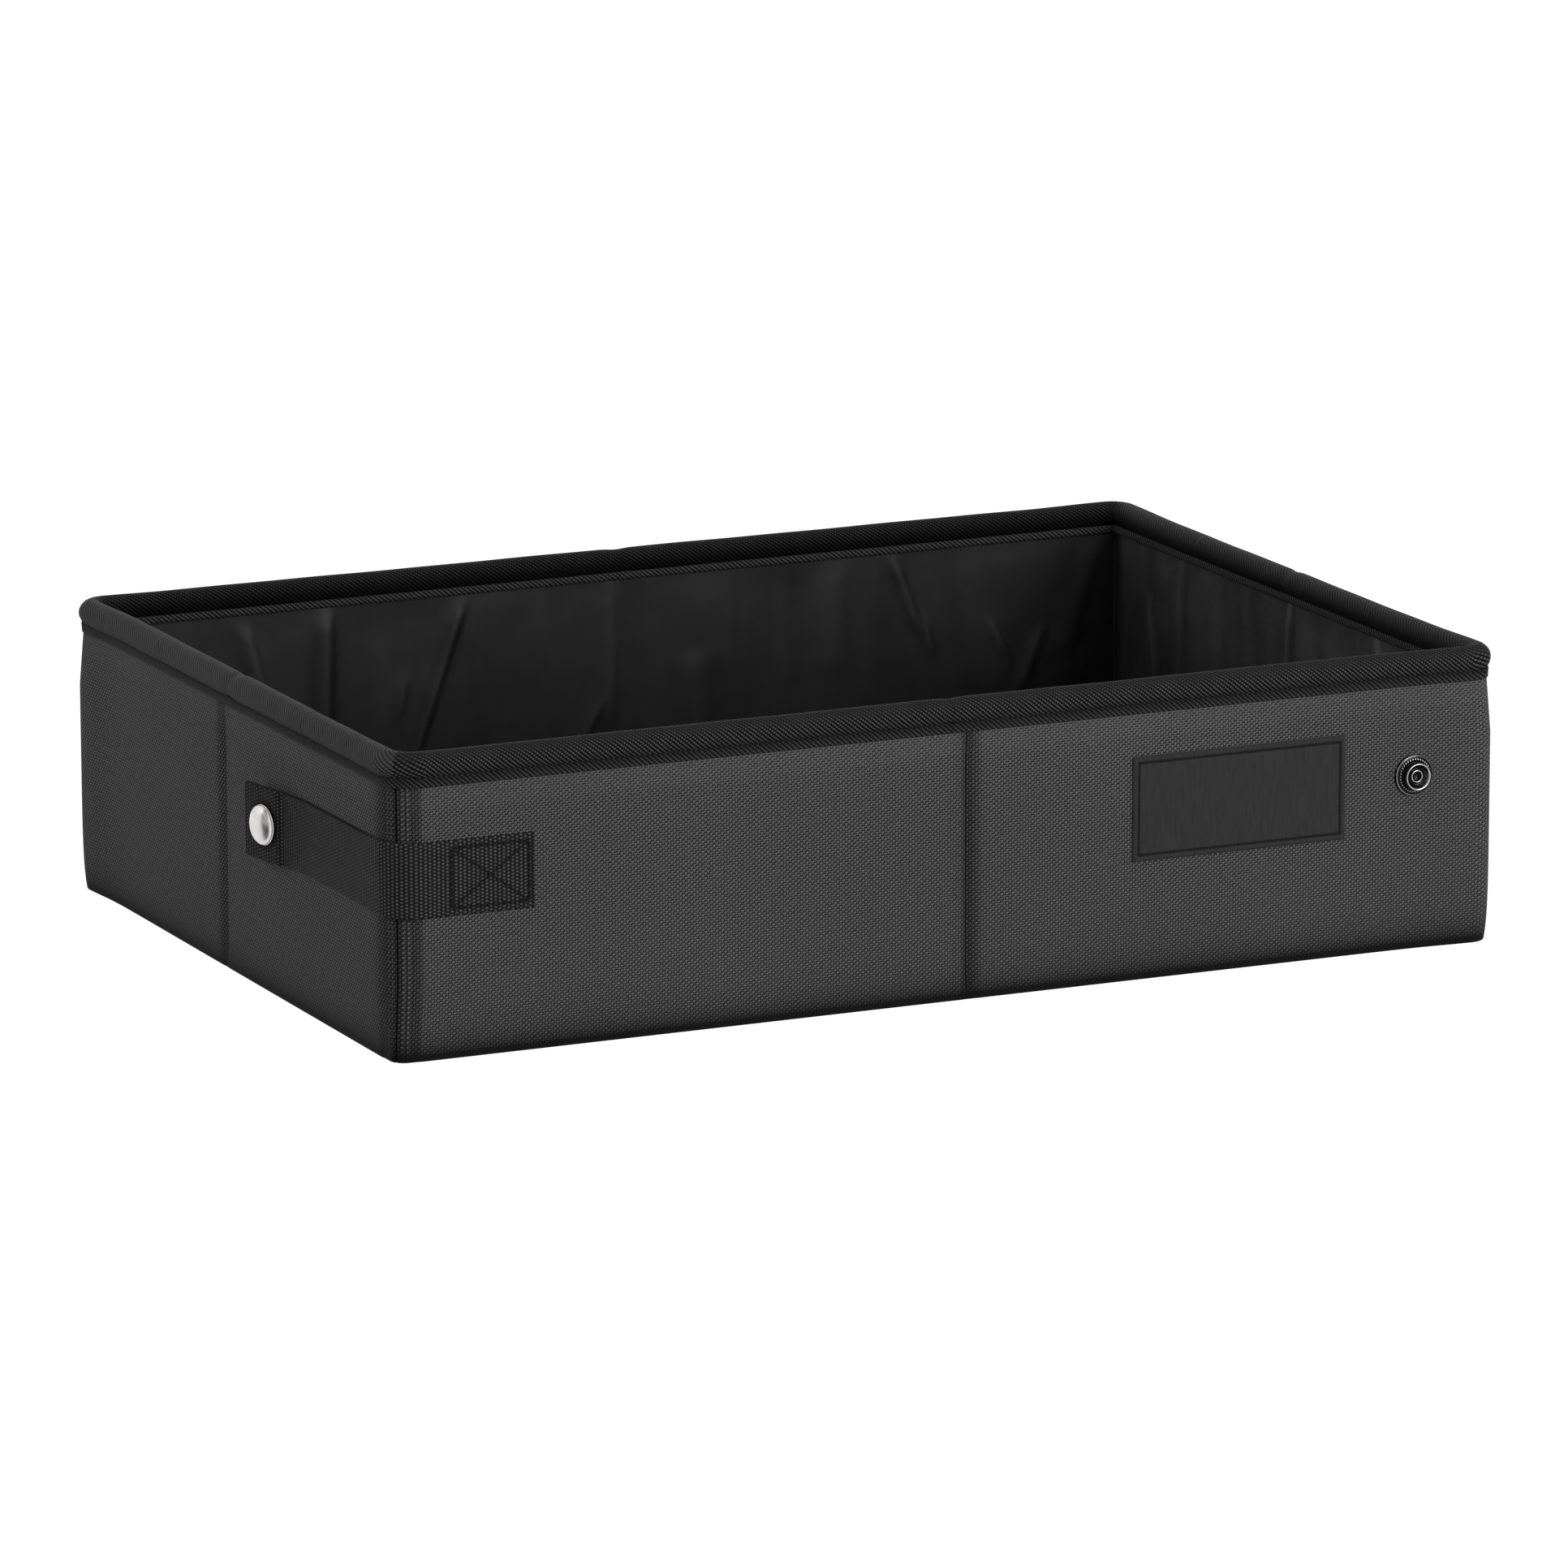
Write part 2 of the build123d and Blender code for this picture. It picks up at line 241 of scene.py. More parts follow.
def opened_line(tight, wide, run, outward, share):
    """Points in plan on a line whose corners open from tight to wide as the share grows from 0 to 1.
    The two lines keep step at the middles of their walls and corners."""
    middles = [(line["run"][:-1] + line["run"][1:]) / 2 for line in (tight, wide)]
    steps = [np.concatenate([[0], middle[1:-1], [line["run"][-1]]]) for middle, line in zip(middles, (tight, wide))]
    x, y = on_line(tight, run, outward)
    wide_x, wide_y = on_line(wide, np.interp(run, *steps), outward)
    return x + (wide_x - x) * share, y + (wide_y - y) * share


def beside_sewn(run, corner):
    """One near the sewn corner, falling to none further along the walls."""
    return np.clip((eased_reach - np.abs(run - corner)) / eased_fade, 0, 1)


def on_wall(run, height, outward, puffed=0.0):
    """Points in plan on the wall. The sewn corner is tight at the floor and eases into a wider bend as the cloth
    rises; the three plain corners are puffed out, most at mid height, with a bell that dies away along the wall."""
    share = smooth(np.clip(height / easing_height, 0, 1)) * beside_sewn(run, sewn_corner)
    from_plain = distance_from(run, plain_corners)
    gained = puff_gain * (1 - np.exp(-np.clip(height, 0, None) / puff_gain_height))
    lost = puff_loss * np.clip((height - puff_loss_start) / puff_loss_height, 0, 1)
    puff = (puff_at_floor + gained - lost) * bell(from_plain, puff_breadth)
    return opened_line(wall, eased_wall, run, outward + puffed * puff, share)


def panel_stops(line):
    """The runs at which one length of cloth hands over to the next: the middles of the panels."""
    run, straight_y = line["run"], line["y"][0]
    return [
        0,
        run[2] + straight_y - panel_stop,
        run[2] + straight_y + panel_stop,
        (run[4] + run[5]) / 2,
        run[6] + straight_y - panel_stop,
        run[6] + straight_y + panel_stop,
        run[9],
    ]


def fold_places(line):
    """The runs of a line's four corners, and of the middles of its walls, with the back wall's at both ends."""
    stops = line["run"]
    corners = (stops[1:9:2] + stops[2:10:2]) / 2
    middles = np.concatenate([[0], (stops[2:8:2] + stops[3:9:2]) / 2, [stops[9]]])
    return corners, middles


def run_along(x, y):
    """The distance gone at each point of a line in a plane."""
    return np.concatenate([[0], np.cumsum(np.hypot(np.diff(x), np.diff(y)))])


def distance_from(run, places):
    """How far a run is from the nearest of the places."""
    return np.abs(run[..., None] - places).min(-1)


# The six lengths that every layer of the wall is made in, each with the two bodies it bends between
# and the places in plan, in millimetres, where its bend starts and ends
lengths = {
    "back_left": ("base_and_back", "left_rear_panel", (-190, 138), (-200, 128)),
    "left": ("left_rear_panel", "left_front_panel", (-200, 5), (-200, -5)),
    "front_left": ("left_front_panel", "front_left_wall", (-200, -128), (-190, -138)),
    "front_right": ("front_right_wall", "right_front_panel", (190, -138), (200, -128)),
    "right": ("right_front_panel", "right_rear_panel", (200, -5), (200, 5)),
    "back_right": ("right_rear_panel", "base_and_back", (200, 128), (190, 138)),
}
stands_for = {
    "back_left": ["back"],
    "left": ["left_rear"],
    "front_left": ["left_front", "front_left"],
    "front_right": ["front_right"],
    "right": ["right_front"],
    "back_right": ["right_rear"],
}


def fold_with_walls(piece, length_name, layers):
    """The piece's place is baked into its mesh, and the CAD layers it stands for there are hidden."""
    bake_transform(piece)
    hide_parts(*[stretch + "_" + layer for stretch in stands_for[length_name] for layer in layers])
    return piece


def woven_surface(name, points, run, rise, finish, ring=False, places=None):
    """A surface through a grid of points, whose columns go along and whose rows go up or round.
    Each face joins four neighbours, along and then up. The UV map holds the distance along and the distance up."""
    rows, columns = points.shape[:2]
    strips = rows if ring else rows - 1
    row, column = np.meshgrid(np.arange(strips), np.arange(columns - 1), indexing="ij")
    rows_at = np.stack([row, row, row + 1, row + 1], -1)
    columns_at = np.stack([column, column + 1, column + 1, column], -1)
    faces = ((rows_at % rows) * columns + columns_at).reshape(-1, 4).tolist()
    uv = np.stack([run[columns_at], rise[rows_at]], -1) if places is None else places[rows_at, columns_at]
    uv = uv.reshape(-1, 2)
    if ring:
        around = np.arange(rows)
        faces += [(around[::-1] * columns).tolist(), (around * columns + columns - 1).tolist()]
        first_end = np.stack([np.full(rows, run[0]), rise[:rows][::-1]], -1)
        last_end = np.stack([np.full(rows, run[-1]), rise[:rows]], -1)
        uv = np.concatenate([uv, first_end, last_end])
    piece = new_piece(name, points.reshape(-1, 3).tolist(), faces, finish)
    mesh = piece.data
    mesh.uv_layers.new(name="thread_map").data.foreach_set("uv", uv.astype(np.float32).ravel())
    mesh.polygons.foreach_set("use_smooth", np.arange(len(faces)) < strips * (columns - 1))
    if not ring:
        ends = np.zeros((len(mesh.edges), 2), np.int32)
        mesh.edges.foreach_get("vertices", ends.ravel())
        in_row, in_column = ends // columns, ends % columns
        along_border = ((in_row == 0) | (in_row == rows - 1)).all(-1) & (in_row[:, 0] == in_row[:, 1])
        across_border = ((in_column == 0) | (in_column == columns - 1)).all(-1) & (
            in_column[:, 0] == in_column[:, 1]
        )
        sharp = mesh.attributes.new("sharp_edge", "BOOLEAN", "EDGE")
        sharp.data.foreach_set("value", along_border | across_border)
    return piece


def give_thickness(piece, thickness):
    """Thickens a sheet behind its face."""
    back = piece.modifiers.new("thickness", "SOLIDIFY")
    back.thickness = thickness
    back.offset = -1.0


def fit(tree, value, low, high, new_low, new_high, **choices):
    """Carries a value from one range to another, and stops at the ends."""
    sockets = {0: value, 1: low, 2: high, 3: new_low, 4: new_high}
    return node(tree, "ShaderNodeMapRange", sockets, **choices).outputs[0]


def away_from(tree, distance, place):
    """How far a distance is from a place, on either side."""
    return maths(tree, "ABSOLUTE", maths(tree, "SUBTRACT", distance, float(place)))


def vector(tree, operation, first, second):
    """The sum or the difference of two places or colours."""
    return node(tree, "ShaderNodeVectorMath", {0: first, 1: second}, operation=operation).outputs[0]


def toned(tree, shade, factor):
    """A shade made brighter or darker by a factor."""
    return node(tree, "ShaderNodeVectorMath", {0: shade, "Scale": factor}, operation="SCALE").outputs[0]


def marked(tree, painted_light_and_wear, mask, change):
    """A factor that changes by a share where a mask is one: the factor times one plus the mask times the change."""
    return maths(tree, "MULTIPLY", painted_light_and_wear, maths(tree, "MULTIPLY_ADD", mask, change, 1.0))


def noise(tree, where, scale, detail):
    """A cloudy value at a place."""
    return node(tree, "ShaderNodeTexNoise", {"Vector": where, "Scale": scale, "Detail": detail}).outputs[0]


def cloudy(tree, value, low, high):
    """A noise value, which lies mostly between 0.3 and 0.7, spread out between low and high."""
    return fit(tree, value, 0.3, 0.7, low, high)


def scaled_place(tree, where, scale):
    """A place whose three distances are each multiplied, so that a pattern is drawn out along one of them."""
    return node(tree, "ShaderNodeMapping", {"Vector": where, "Scale": scale}).outputs[0]


def wave_sum(tree, along, upward, waves):
    """A value between 0 and 1 from a sum of cosine waves, each given by its turns per millimetre along and up,
    and its share."""
    reach = 2 * sum(share for _, _, share in waves)
    total = 0.5
    for turns_along, turns_up, share in waves:
        rising = maths(tree, "MULTIPLY", upward, 2 * np.pi * turns_up / mm)
        phase = maths(tree, "MULTIPLY_ADD", along, 2 * np.pi * turns_along / mm, rising)
        total = maths(tree, "MULTIPLY_ADD", maths(tree, "COSINE", phase), share / reach, total)
    return total


def swing(tree, distance, pitch):
    """A value that swings between -1 and 1, once in each pitch: the cosine of a full turn for every pitch run."""
    return maths(tree, "COSINE", maths(tree, "MULTIPLY", distance, 2 * np.pi / pitch))


def thread_map(tree):
    """The cloth's own map: the distance along it and the distance up it."""
    return node(tree, "ShaderNodeUVMap", uv_map="thread_map").outputs[0]


def own_place(tree):
    """A place in the piece's own frame, for the pieces that never bend."""
    return node(tree, "ShaderNodeTexCoord").outputs["Object"]


def thread_places(tree, wander=0.0, wander_size=4 * mm):
    """The distance along and up the cloth from its own map, with the small wander of real threads."""
    places = thread_map(tree)
    if wander:
        loose = node(tree, "ShaderNodeTexNoise", {"Vector": places, "Scale": 1 / wander_size, "Detail": 2.0})
        shifted = vector(tree, "SUBTRACT", loose.outputs["Color"], (0.5, 0.5, 0.5))
        places = vector(tree, "ADD", places, toned(tree, shifted, wander))
    split = node(tree, "ShaderNodeSeparateXYZ", {0: places})
    return split.outputs[0], split.outputs[1]


def shades(tree, value, stops):
    """Turns a value into a shade through a row of stops, each a place and a brightness or a colour."""
    ramp = node(tree, "ShaderNodeValToRGB", {0: value})
    points = ramp.color_ramp.elements
    while len(points) < len(stops):
        points.new(0.5)
    for point, (place, shade) in zip(points, stops):
        point.position = place
        point.color = (*shade, 1) if isinstance(shade, tuple) else (shade, shade, shade, 1)
    return ramp.outputs[0]


def mottle(tree, size, low, high, detail=3.0):
    """A soft cloudy value between low and high, in patches of about the size given."""
    return cloudy(tree, noise(tree, thread_map(tree), 1 / size, detail), low, high)


def dress(tree, shader, colour, height, depth, strength):
    """Gives the shader its colour, and lets a height between 0 and 1 catch the light as relief of a depth."""
    tree.links.new(colour, shader.inputs["Base Color"])
    bump = node(tree, "ShaderNodeBump", {"Height": height, "Distance": depth, "Strength": strength})
    tree.links.new(bump.outputs[0], shader.inputs["Normal"])


wall = wall_line(box_length / 2, box_width / 2, corner_radius)
eased_wall = wall_line(box_length / 2, box_width / 2, eased_radius)
wall_stops = panel_stops(wall)
wall_corners, wall_middles = fold_places(wall)
_, left_middle_run, front_middle_run, right_middle_run, _ = wall_middles

# The creases lie a little to one side of the walls' middles, and each has its easy slope on one side
crease_places = wall_middles + np.array([5.1, -7.5, 5.1, -7.5, 5.1]) * mm
easy_side = np.array([1, -1, 1, -1, 1])
crease_dip, channel_depth, slit_depth = 0.9 * mm, 0.35 * mm, 0.6 * mm
steep_width, easy_width = 1.3 * mm, 3.4 * mm
channel_width, channel_step, slit_width = 8.6 * mm, 2.4 * mm, 0.28 * mm
slit_shift = 0.85 * mm
corner_places = wall_corners - np.array([0, slit_shift, 0, 0])
sewn_corner, plain_corners = float(corner_places[1]), corner_places[[0, 2, 3]]

# How far from a corner, a crease, the foot and the top edge the cloth comes to its full swell
full_from_corner, full_from_crease, full_from_foot, full_from_top = 14 * mm, 12 * mm, 25 * mm, 20 * mm
# How far from the top edge and the foot the creases come to their full depth, and the shares they keep there
crease_from_top, kept_at_top, crease_from_foot, kept_at_foot = 12 * mm, 0.35, 9 * mm, 0.15
least_swell, slack_swell = 0.5, 0.2
slack_along, slack_up, slack_slant = 31 * mm, 19 * mm, 57 * mm


def wall_swell(run, height):
    """How far the drawn cloth stands out from the flat wall: it fills between the folds and towards mid height,
    steps down beside the sewn corner where the boards end, dips at every crease with one steep and one easy side,
    and turns under in a quarter circle at the foot."""
    from_corner = distance_from(run, corner_places)
    which = np.abs(run[..., None] - crease_places).argmin(-1)
    past_crease = (run - crease_places[which]) * easy_side[which]
    from_crease = np.abs(past_crease)
    from_top = wall_top - height
    fill = (1 - np.exp(-from_corner / full_from_corner)) * (1 - np.exp(-from_crease / full_from_crease))
    fill = fill * np.clip(height / full_from_foot, 0, 1) ** 0.5 * np.clip(from_top / full_from_top, 0, 1) ** 0.5
    slack = 0.5 + 0.5 * np.sin(run / slack_along) * np.sin(height / slack_up + run / slack_slant)
    side_width = np.where(past_crease < 0, steep_width, easy_width)
    fade = np.clip(from_top / crease_from_top, kept_at_top, 1) * np.clip(height / crease_from_foot, kept_at_foot, 1)
    dip = bell(past_crease, side_width) * crease_dip * fade
    from_sewn = np.abs(run - sewn_corner)
    step = np.clip((from_sewn - channel_width + channel_step / 2) / channel_step, 0, 1)
    channel = (1 - smooth(step)) * channel_depth
    slit = slit_depth * bell(from_sewn, slit_width)
    low = np.clip(wall_foot + turn_under_radius - height, 0, None)
    under = turn_under_radius - np.sqrt(np.clip(turn_under_radius**2 - low**2, 0, None))
    return fill * (least_swell + slack_swell * slack) * mm - dip - channel - slit - under


def near(tree, distance, places, half_width):
    """One on each of the places and none beyond the half width from them, with a soft bell between."""
    total = None
    for place in places:
        away = away_from(tree, distance, place)
        here = fit(tree, away, 0.0, half_width, 1.0, 0.0, interpolation_type="SMOOTHSTEP")
        total = here if total is None else maths(tree, "MAXIMUM", total, here)
    return total


# Turns per millimetre along and up, and share: a staggered weave of thick standing threads over thin lying ones
weave_waves = [
    (0.492, -0.612, 1.0), (0.492, 0.612, 0.57), (0.0, 1.22, 0.8), (0.984, 0.0, 0.76), (1.477, 0.61, 0.43),
    (1.477, -0.61, 0.39)
]
thread_relief = 0.3 * mm
weave_shades = [(0.26, 0.003), (0.4, 0.024), (0.47, 0.047), (0.55, 0.08), (0.8, 0.125), (0.95, 0.145)]


def cloth_weave(tree, turned, calm=0.0):
    """The two-tone weave, with its threads lying the other way where the cloth is turned,
    and flatter where it is calm."""
    along, upward = thread_places(tree, wander=0.2 * mm, wander_size=5 * mm)
    if turned:
        along, upward = upward, along
    threads = wave_sum(tree, along, upward, weave_waves)
    contrast = maths(tree, "SUBTRACT", 1.0, calm)
    return maths(tree, "MULTIPLY_ADD", maths(tree, "SUBTRACT", threads, 0.48), contrast, 0.48)


def plateau(tree, distance, places, half_width, soft):
    """One within the half width of the places and none outside, with an edge of the given softness."""
    away = None
    for place in places:
        this = away_from(tree, distance, place)
        away = this if away is None else maths(tree, "MINIMUM", away, this)
    return fit(tree, away, half_width - soft, half_width + soft, 1.0, 0.0, interpolation_type="SMOOTHSTEP")


def outer_cloth_finish(name, turned):
    """The coated cloth of the walls. Its gaps open at the creases and beside the sewn corner, and pale stitches of
    thread stand beside that corner's slit. Painted shade darkens the creases, the channel and slit beside the sewn
    corner, and the foot; a band just under the top edge is made a little lighter."""
    finish, tree, shader = new_finish(name, Roughness=0.8, Specular_IOR_Level=0.08)
    run, height = thread_places(tree)
    calm = fit(tree, height, 80 * mm, 90 * mm, 0.0, 0.5)
    bent_places = crease_places[1::2] - 3.5 * mm if turned else crease_places[::2] + 2 * mm
    bent_corner = near(tree, run, [sewn_corner], 17 * mm if turned else 10 * mm)
    bent = maths(tree, "MAXIMUM", near(tree, run, bent_places, 4.5 * mm), bent_corner)
    threads = maths(tree, "MULTIPLY_ADD", bent, -0.09, cloth_weave(tree, turned, calm))
    shade = shades(tree, threads, weave_shades)
    dashes = maths(tree, "MULTIPLY_ADD", swing(tree, height, 1.64 * mm), 0.5, 0.5)
    beside = near(tree, run, sewn_corner + np.array([-3.3, -1.8] if turned else [2.5, 4.3]) * mm, 0.7 * mm)
    pale = maths(tree, "MULTIPLY", maths(tree, "MULTIPLY", dashes, beside), 0.05 if turned else 0.13)
    shade = vector(tree, "ADD", shade, pale)
    # Painted shade: the creases are darkened in the colour, in fine lines along the groove and more broadly beside
    # it
    past_front_crease = maths(tree, "SUBTRACT", run, float(crease_places[2]))
    lines = maths(tree, "MULTIPLY_ADD", swing(tree, past_front_crease, 1.5 * mm), 0.4, 0.6)
    painted_crease_shade = maths(tree, "MULTIPLY", near(tree, run, crease_places, 2.6 * mm), lines)
    painted_light_and_wear = maths(tree, "MULTIPLY_ADD", painted_crease_shade, -0.6 if turned else -0.92, 1.0)
    painted_light_and_wear = marked(tree, painted_light_and_wear, near(tree, run, crease_places, 8 * mm), -0.14)
    if not turned:
        beside_crease = near(tree, run, crease_places - 5 * mm, 1.6 * mm)
        pressed = maths(tree, "MULTIPLY", beside_crease, swing(tree, run, 0.56 * mm))
        painted_light_and_wear = marked(tree, painted_light_and_wear, pressed, 0.3)
    # Painted shade: the channel beside the sewn corner is darkened, and the slit itself is painted nearly black
    half_width, soft, darker = (9 * mm, 4 * mm, -0.28) if turned else (channel_width, 0.9 * mm, -0.42)
    painted_light_and_wear = marked(tree, painted_light_and_wear, plateau(tree, run, [sewn_corner], half_width, soft), darker)
    painted_light_and_wear = marked(tree, painted_light_and_wear, plateau(tree, run, [sewn_corner], 0.3 * mm, 0.1 * mm), -0.99)
    # Painted shade: the cloth darkens towards the foot, where it meets the floor
    depth = maths(tree, "EXPONENT", maths(tree, "MULTIPLY_ADD", height, -1 / (4.5 * mm), 0.45))
    foot_shade = maths(tree, "MAXIMUM", maths(tree, "MULTIPLY_ADD", depth, -0.85, 1.0), 0.07)
    painted_light_and_wear = maths(tree, "MULTIPLY", painted_light_and_wear, foot_shade)
    # Made a little lighter in a band just under the top edge
    painted_light_and_wear = marked(tree, painted_light_and_wear, plateau(tree, height, [87 * mm], 4 * mm, 2.5 * mm), 0.13)
    painted_light_and_wear = maths(tree, "MULTIPLY", painted_light_and_wear, mottle(tree, 70 * mm, 0.95, 1.06))
    painted_light_and_wear = maths(tree, "MULTIPLY", painted_light_and_wear, mottle(tree, 1.6 * mm, 0.86, 1.14))
    dress(tree, shader, toned(tree, shade, painted_light_and_wear), threads, thread_relief, 0.5)
    return finish


long_wall_cloth = outer_cloth_finish("outer_cloth_long_walls", turned=False)
side_wall_cloth = outer_cloth_finish("outer_cloth_side_walls", turned=True)


def finer_near(start, end, step, places, reach=3 * mm, fine=0.22 * mm):
    """Runs from start to end in even steps, with fine steps close to the places where the cloth is bent."""
    coarse = np.linspace(start, end, int(round(abs(end - start) / step)) + 1)
    extra = (np.asarray(places)[:, None] + np.arange(-reach, reach, fine)).ravel()
    extra = extra[(extra > min(start, end) + fine) & (extra < max(start, end) - fine)]
    merged = np.unique(np.round(np.concatenate([coarse, extra]), 6))
    merged = merged[np.concatenate([[True], np.diff(merged) > 0.08 * mm])]
    merged[0], merged[-1] = min(start, end), max(start, end)
    return merged if end > start else merged[::-1]


cloth_rise = np.concatenate(
    [wall_foot + turn_under_radius * np.linspace(0, 1, 6) ** 1.5, np.linspace(3 * mm, wall_top, 66)]
)
for number, name in enumerate(lengths):
    run = finer_near(
        wall_stops[number], wall_stops[number + 1], 1.5 * mm, np.concatenate([corner_places, crease_places])
    )
    run_at, rise_at = np.meshgrid(run, cloth_rise)
    x, y = on_wall(run_at, rise_at, wall_swell(run_at, rise_at), puffed=1.0)
    cloth = woven_surface("outer_cloth_" + name, np.stack([x, y, rise_at], -1), run, cloth_rise, long_wall_cloth)
    cloth.data.materials.append(side_wall_cloth)
    middle_of_face = (run[1:] + run[:-1]) / 2
    on_side = np.searchsorted(corner_places, middle_of_face) % 2
    cloth.data.polygons.foreach_set("material_index", np.tile(on_side, len(cloth_rise) - 1).astype(np.int32))
    give_thickness(cloth, cloth_thickness)
    fold_with_walls(cloth, name, ["cloth"])


# Waterproof liner: black coated cloth hung inside the walls from the same top edge.
# It is cut a little large, so it stands in soft upright folds, deepest beside the corners.
liner_out = -5.0 * mm
liner_foot, liner_thickness = 3.9 * mm, 0.7 * mm
liner_finish, tree, shader = new_finish("liner_cloth", Roughness=0.45, Specular_IOR_Level=0.16)
along, upward = thread_places(tree)
grain = maths(tree, "MULTIPLY", swing(tree, along, 0.7 * mm), swing(tree, upward, 0.7 * mm))
shade = shades(tree, mottle(tree, 40 * mm, 0.0, 1.0), [(0.0, 0.005), (0.6, 0.0075), (1.0, 0.011)])
# The liner is made darker towards the bottom
painted_light_and_tone = fit(tree, upward, 25 * mm, 85 * mm, 0.45, 1.25)
# Painted light in the folds: crests lighter, partly painted highlight and partly worn coating, troughs darker as
# painted shade
fold_light_and_wear = node(tree, "ShaderNodeAttribute", attribute_name="painted_fold_light_and_wear").outputs["Fac"]
painted_light_and_tone = marked(tree, painted_light_and_tone, fold_light_and_wear, 0.75)
banded_places = scaled_place(tree, thread_map(tree), (38.0, 9.0, 1.0))
bands = node(
    tree, "ShaderNodeTexNoise", {"Vector": banded_places, "Scale": 1.0, "Detail": 3.0, "Distortion": 0.6}
).outputs[0]
painted_light_and_tone = maths(tree, "MULTIPLY", painted_light_and_tone, fit(tree, bands, 0.32, 0.68, 0.6, 1.45))
# Painted light: the right wall's liner is made several times lighter, as if more light fell on it
painted_light_and_tone = marked(tree, painted_light_and_tone, plateau(tree, along, [right_middle_run], 128 * mm, 4 * mm), 2.8)
shade = toned(tree, shade, marked(tree, painted_light_and_tone, grain, 0.07))
tree.links.new(mottle(tree, 9 * mm, 0.4, 0.55), shader.inputs["Roughness"])
fine_grain = maths(tree, "MULTIPLY", grain, 0.5)
crumple = maths(tree, "MULTIPLY_ADD", mottle(tree, 14 * mm, 0.0, 1.0, 5.0), 3.0, fine_grain)
dress(tree, shader, shade, crumple, 0.1 * mm, 0.5)

# Each fold: its wall's number round the box from the back, how far past that wall's middle its top and its foot
# lie, the heights of its top and foot, its breadth and how proud it stands, in millimetres
liner_folds = np.array([
    (0, 111, 112, 92, 40, 5.0, 1.7), (0, 141, 134, 86, 58, 4.0, 1.1), (0, 60, 79, 88, 34, 3.2, 1.4),
    (0, 3, 3, 96, 42, 3.5, 0.5), (0, -84, -84, 90, 52, 9.0, 0.5), (0, -106, -117, 92, 64, 2.6, 1.2),
    (0, -120, -122, 64, 54, 2.0, 0.9), (0, -147, -152, 60, 50, 2.4, 0.9), (0, -188, -176, 88, 50, 6.0, 0.6),
    (0, -165, -158, 56, 38, 3.0, 0.8), (0, 82, 84, 62, 50, 2.2, 0.8), (0, 8, 14, 46, 34, 3.0, 0.7),
    (0, -30, -34, 60, 20, 10.0, 0.6), (1, 40, 46, 88, 36, 4.0, 1.1), (1, -62, -50, 84, 32, 3.6, 1.3),
    (2, -120, -108, 88, 38, 4.2, 1.3), (2, 60, 66, 84, 42, 3.6, 1.0), (2, 150, 142, 88, 36, 4.6, 1.4),
    (3, 78, 80, 92, 44, 4.5, 0.9), (3, -5, -2, 94, 40, 3.2, 1.3), (3, -66, -84, 96, 60, 4.2, 1.7),
    (3, 104, 96, 70, 30, 4.0, 1.0),
])


liner_slack, slow_wave, quick_wave, rising_wave = 0.22 * mm, 23 * mm, 9.5 * mm, 40 * mm
steep_share = 0.45
fold_overrun, fold_fade = 6, 10
# The crest beside each fold's line, painted lighter as highlight and worn coating, and the trough before it,
# painted darker as shade: breadths and places in shares of the fold's
crest_breadth, crest_place, most_crest = 0.5, 0.6, 1.4
trough_breadth, trough_place, trough_share = 0.4, 1.3, 0.5
slack_from_top, slack_from_foot, slack_from_corner = 9 * mm, 12 * mm, 10 * mm


def liner_swell(run, height, line):
    """How far the liner stands in from its board. Each fold is a bell across its leaning line, steep on one side,
    that rises and dies away at its ends; a slow slack lies under them. Each fold also gives its painted light: a
    lighter crest, partly painted highlight and partly worn coating, and a darker trough as painted shade."""
    round_trip = line["run"][-1]
    corners, middles = fold_places(line)
    swell = liner_slack * (np.sin(run / slow_wave) + np.sin(run / quick_wave + height / rising_wave))
    fold_light_and_wear = 0 * swell
    for which, top_place, foot_place, top, foot, breadth, proud in liner_folds:
        share = (height / mm - foot) / (top - foot)
        centre = middles[int(which)] + (foot_place + (top_place - foot_place) * share) * mm
        past = (run - centre + round_trip / 2) % round_trip - round_trip / 2
        width = np.where(past < 0, steep_share, 1.0) * breadth * mm
        past_foot, before_top = height / mm - foot + fold_overrun, top + fold_overrun - height / mm
        rise = np.clip(past_foot / fold_fade, 0, 1) * np.clip(before_top / fold_fade, 0, 1)
        swell = swell + proud * mm * bell(past, width) * smooth(rise)
        crest = bell(past / (crest_breadth * breadth * mm) - crest_place, 1)
        trough = bell(past / (trough_breadth * breadth * mm) + trough_place, 1)
        fold_light_and_wear = fold_light_and_wear + np.clip(proud, 0, most_crest) * (crest - trough_share * trough) * rise
    hold = np.clip((wall_top - height) / slack_from_top, 0, 1) * np.clip(height / slack_from_foot, 0, 1)
    return swell * hold * np.clip(distance_from(run, corners) / slack_from_corner, 0, 1), fold_light_and_wear


liner_rise = np.linspace(liner_foot, wall_top, 62)
for number, name in enumerate(lengths):
    run = np.linspace(wall_stops[number + 1], wall_stops[number], 190)
    run_at, rise_at = np.meshgrid(run, liner_rise)
    swell, fold_light_and_wear = liner_swell(run_at, rise_at, wall)
    x, y = on_wall(run_at, rise_at, liner_out - swell)
    liner = woven_surface("liner_" + name, np.stack([x, y, rise_at], -1), run, liner_rise, liner_finish)
    liner.data.attributes.new("painted_fold_light_and_wear", "FLOAT", "POINT").data.foreach_set(
        "value", fold_light_and_wear.astype(np.float32).ravel()
    )
    give_thickness(liner, liner_thickness)
    fold_with_walls(liner, name, ["liner"])


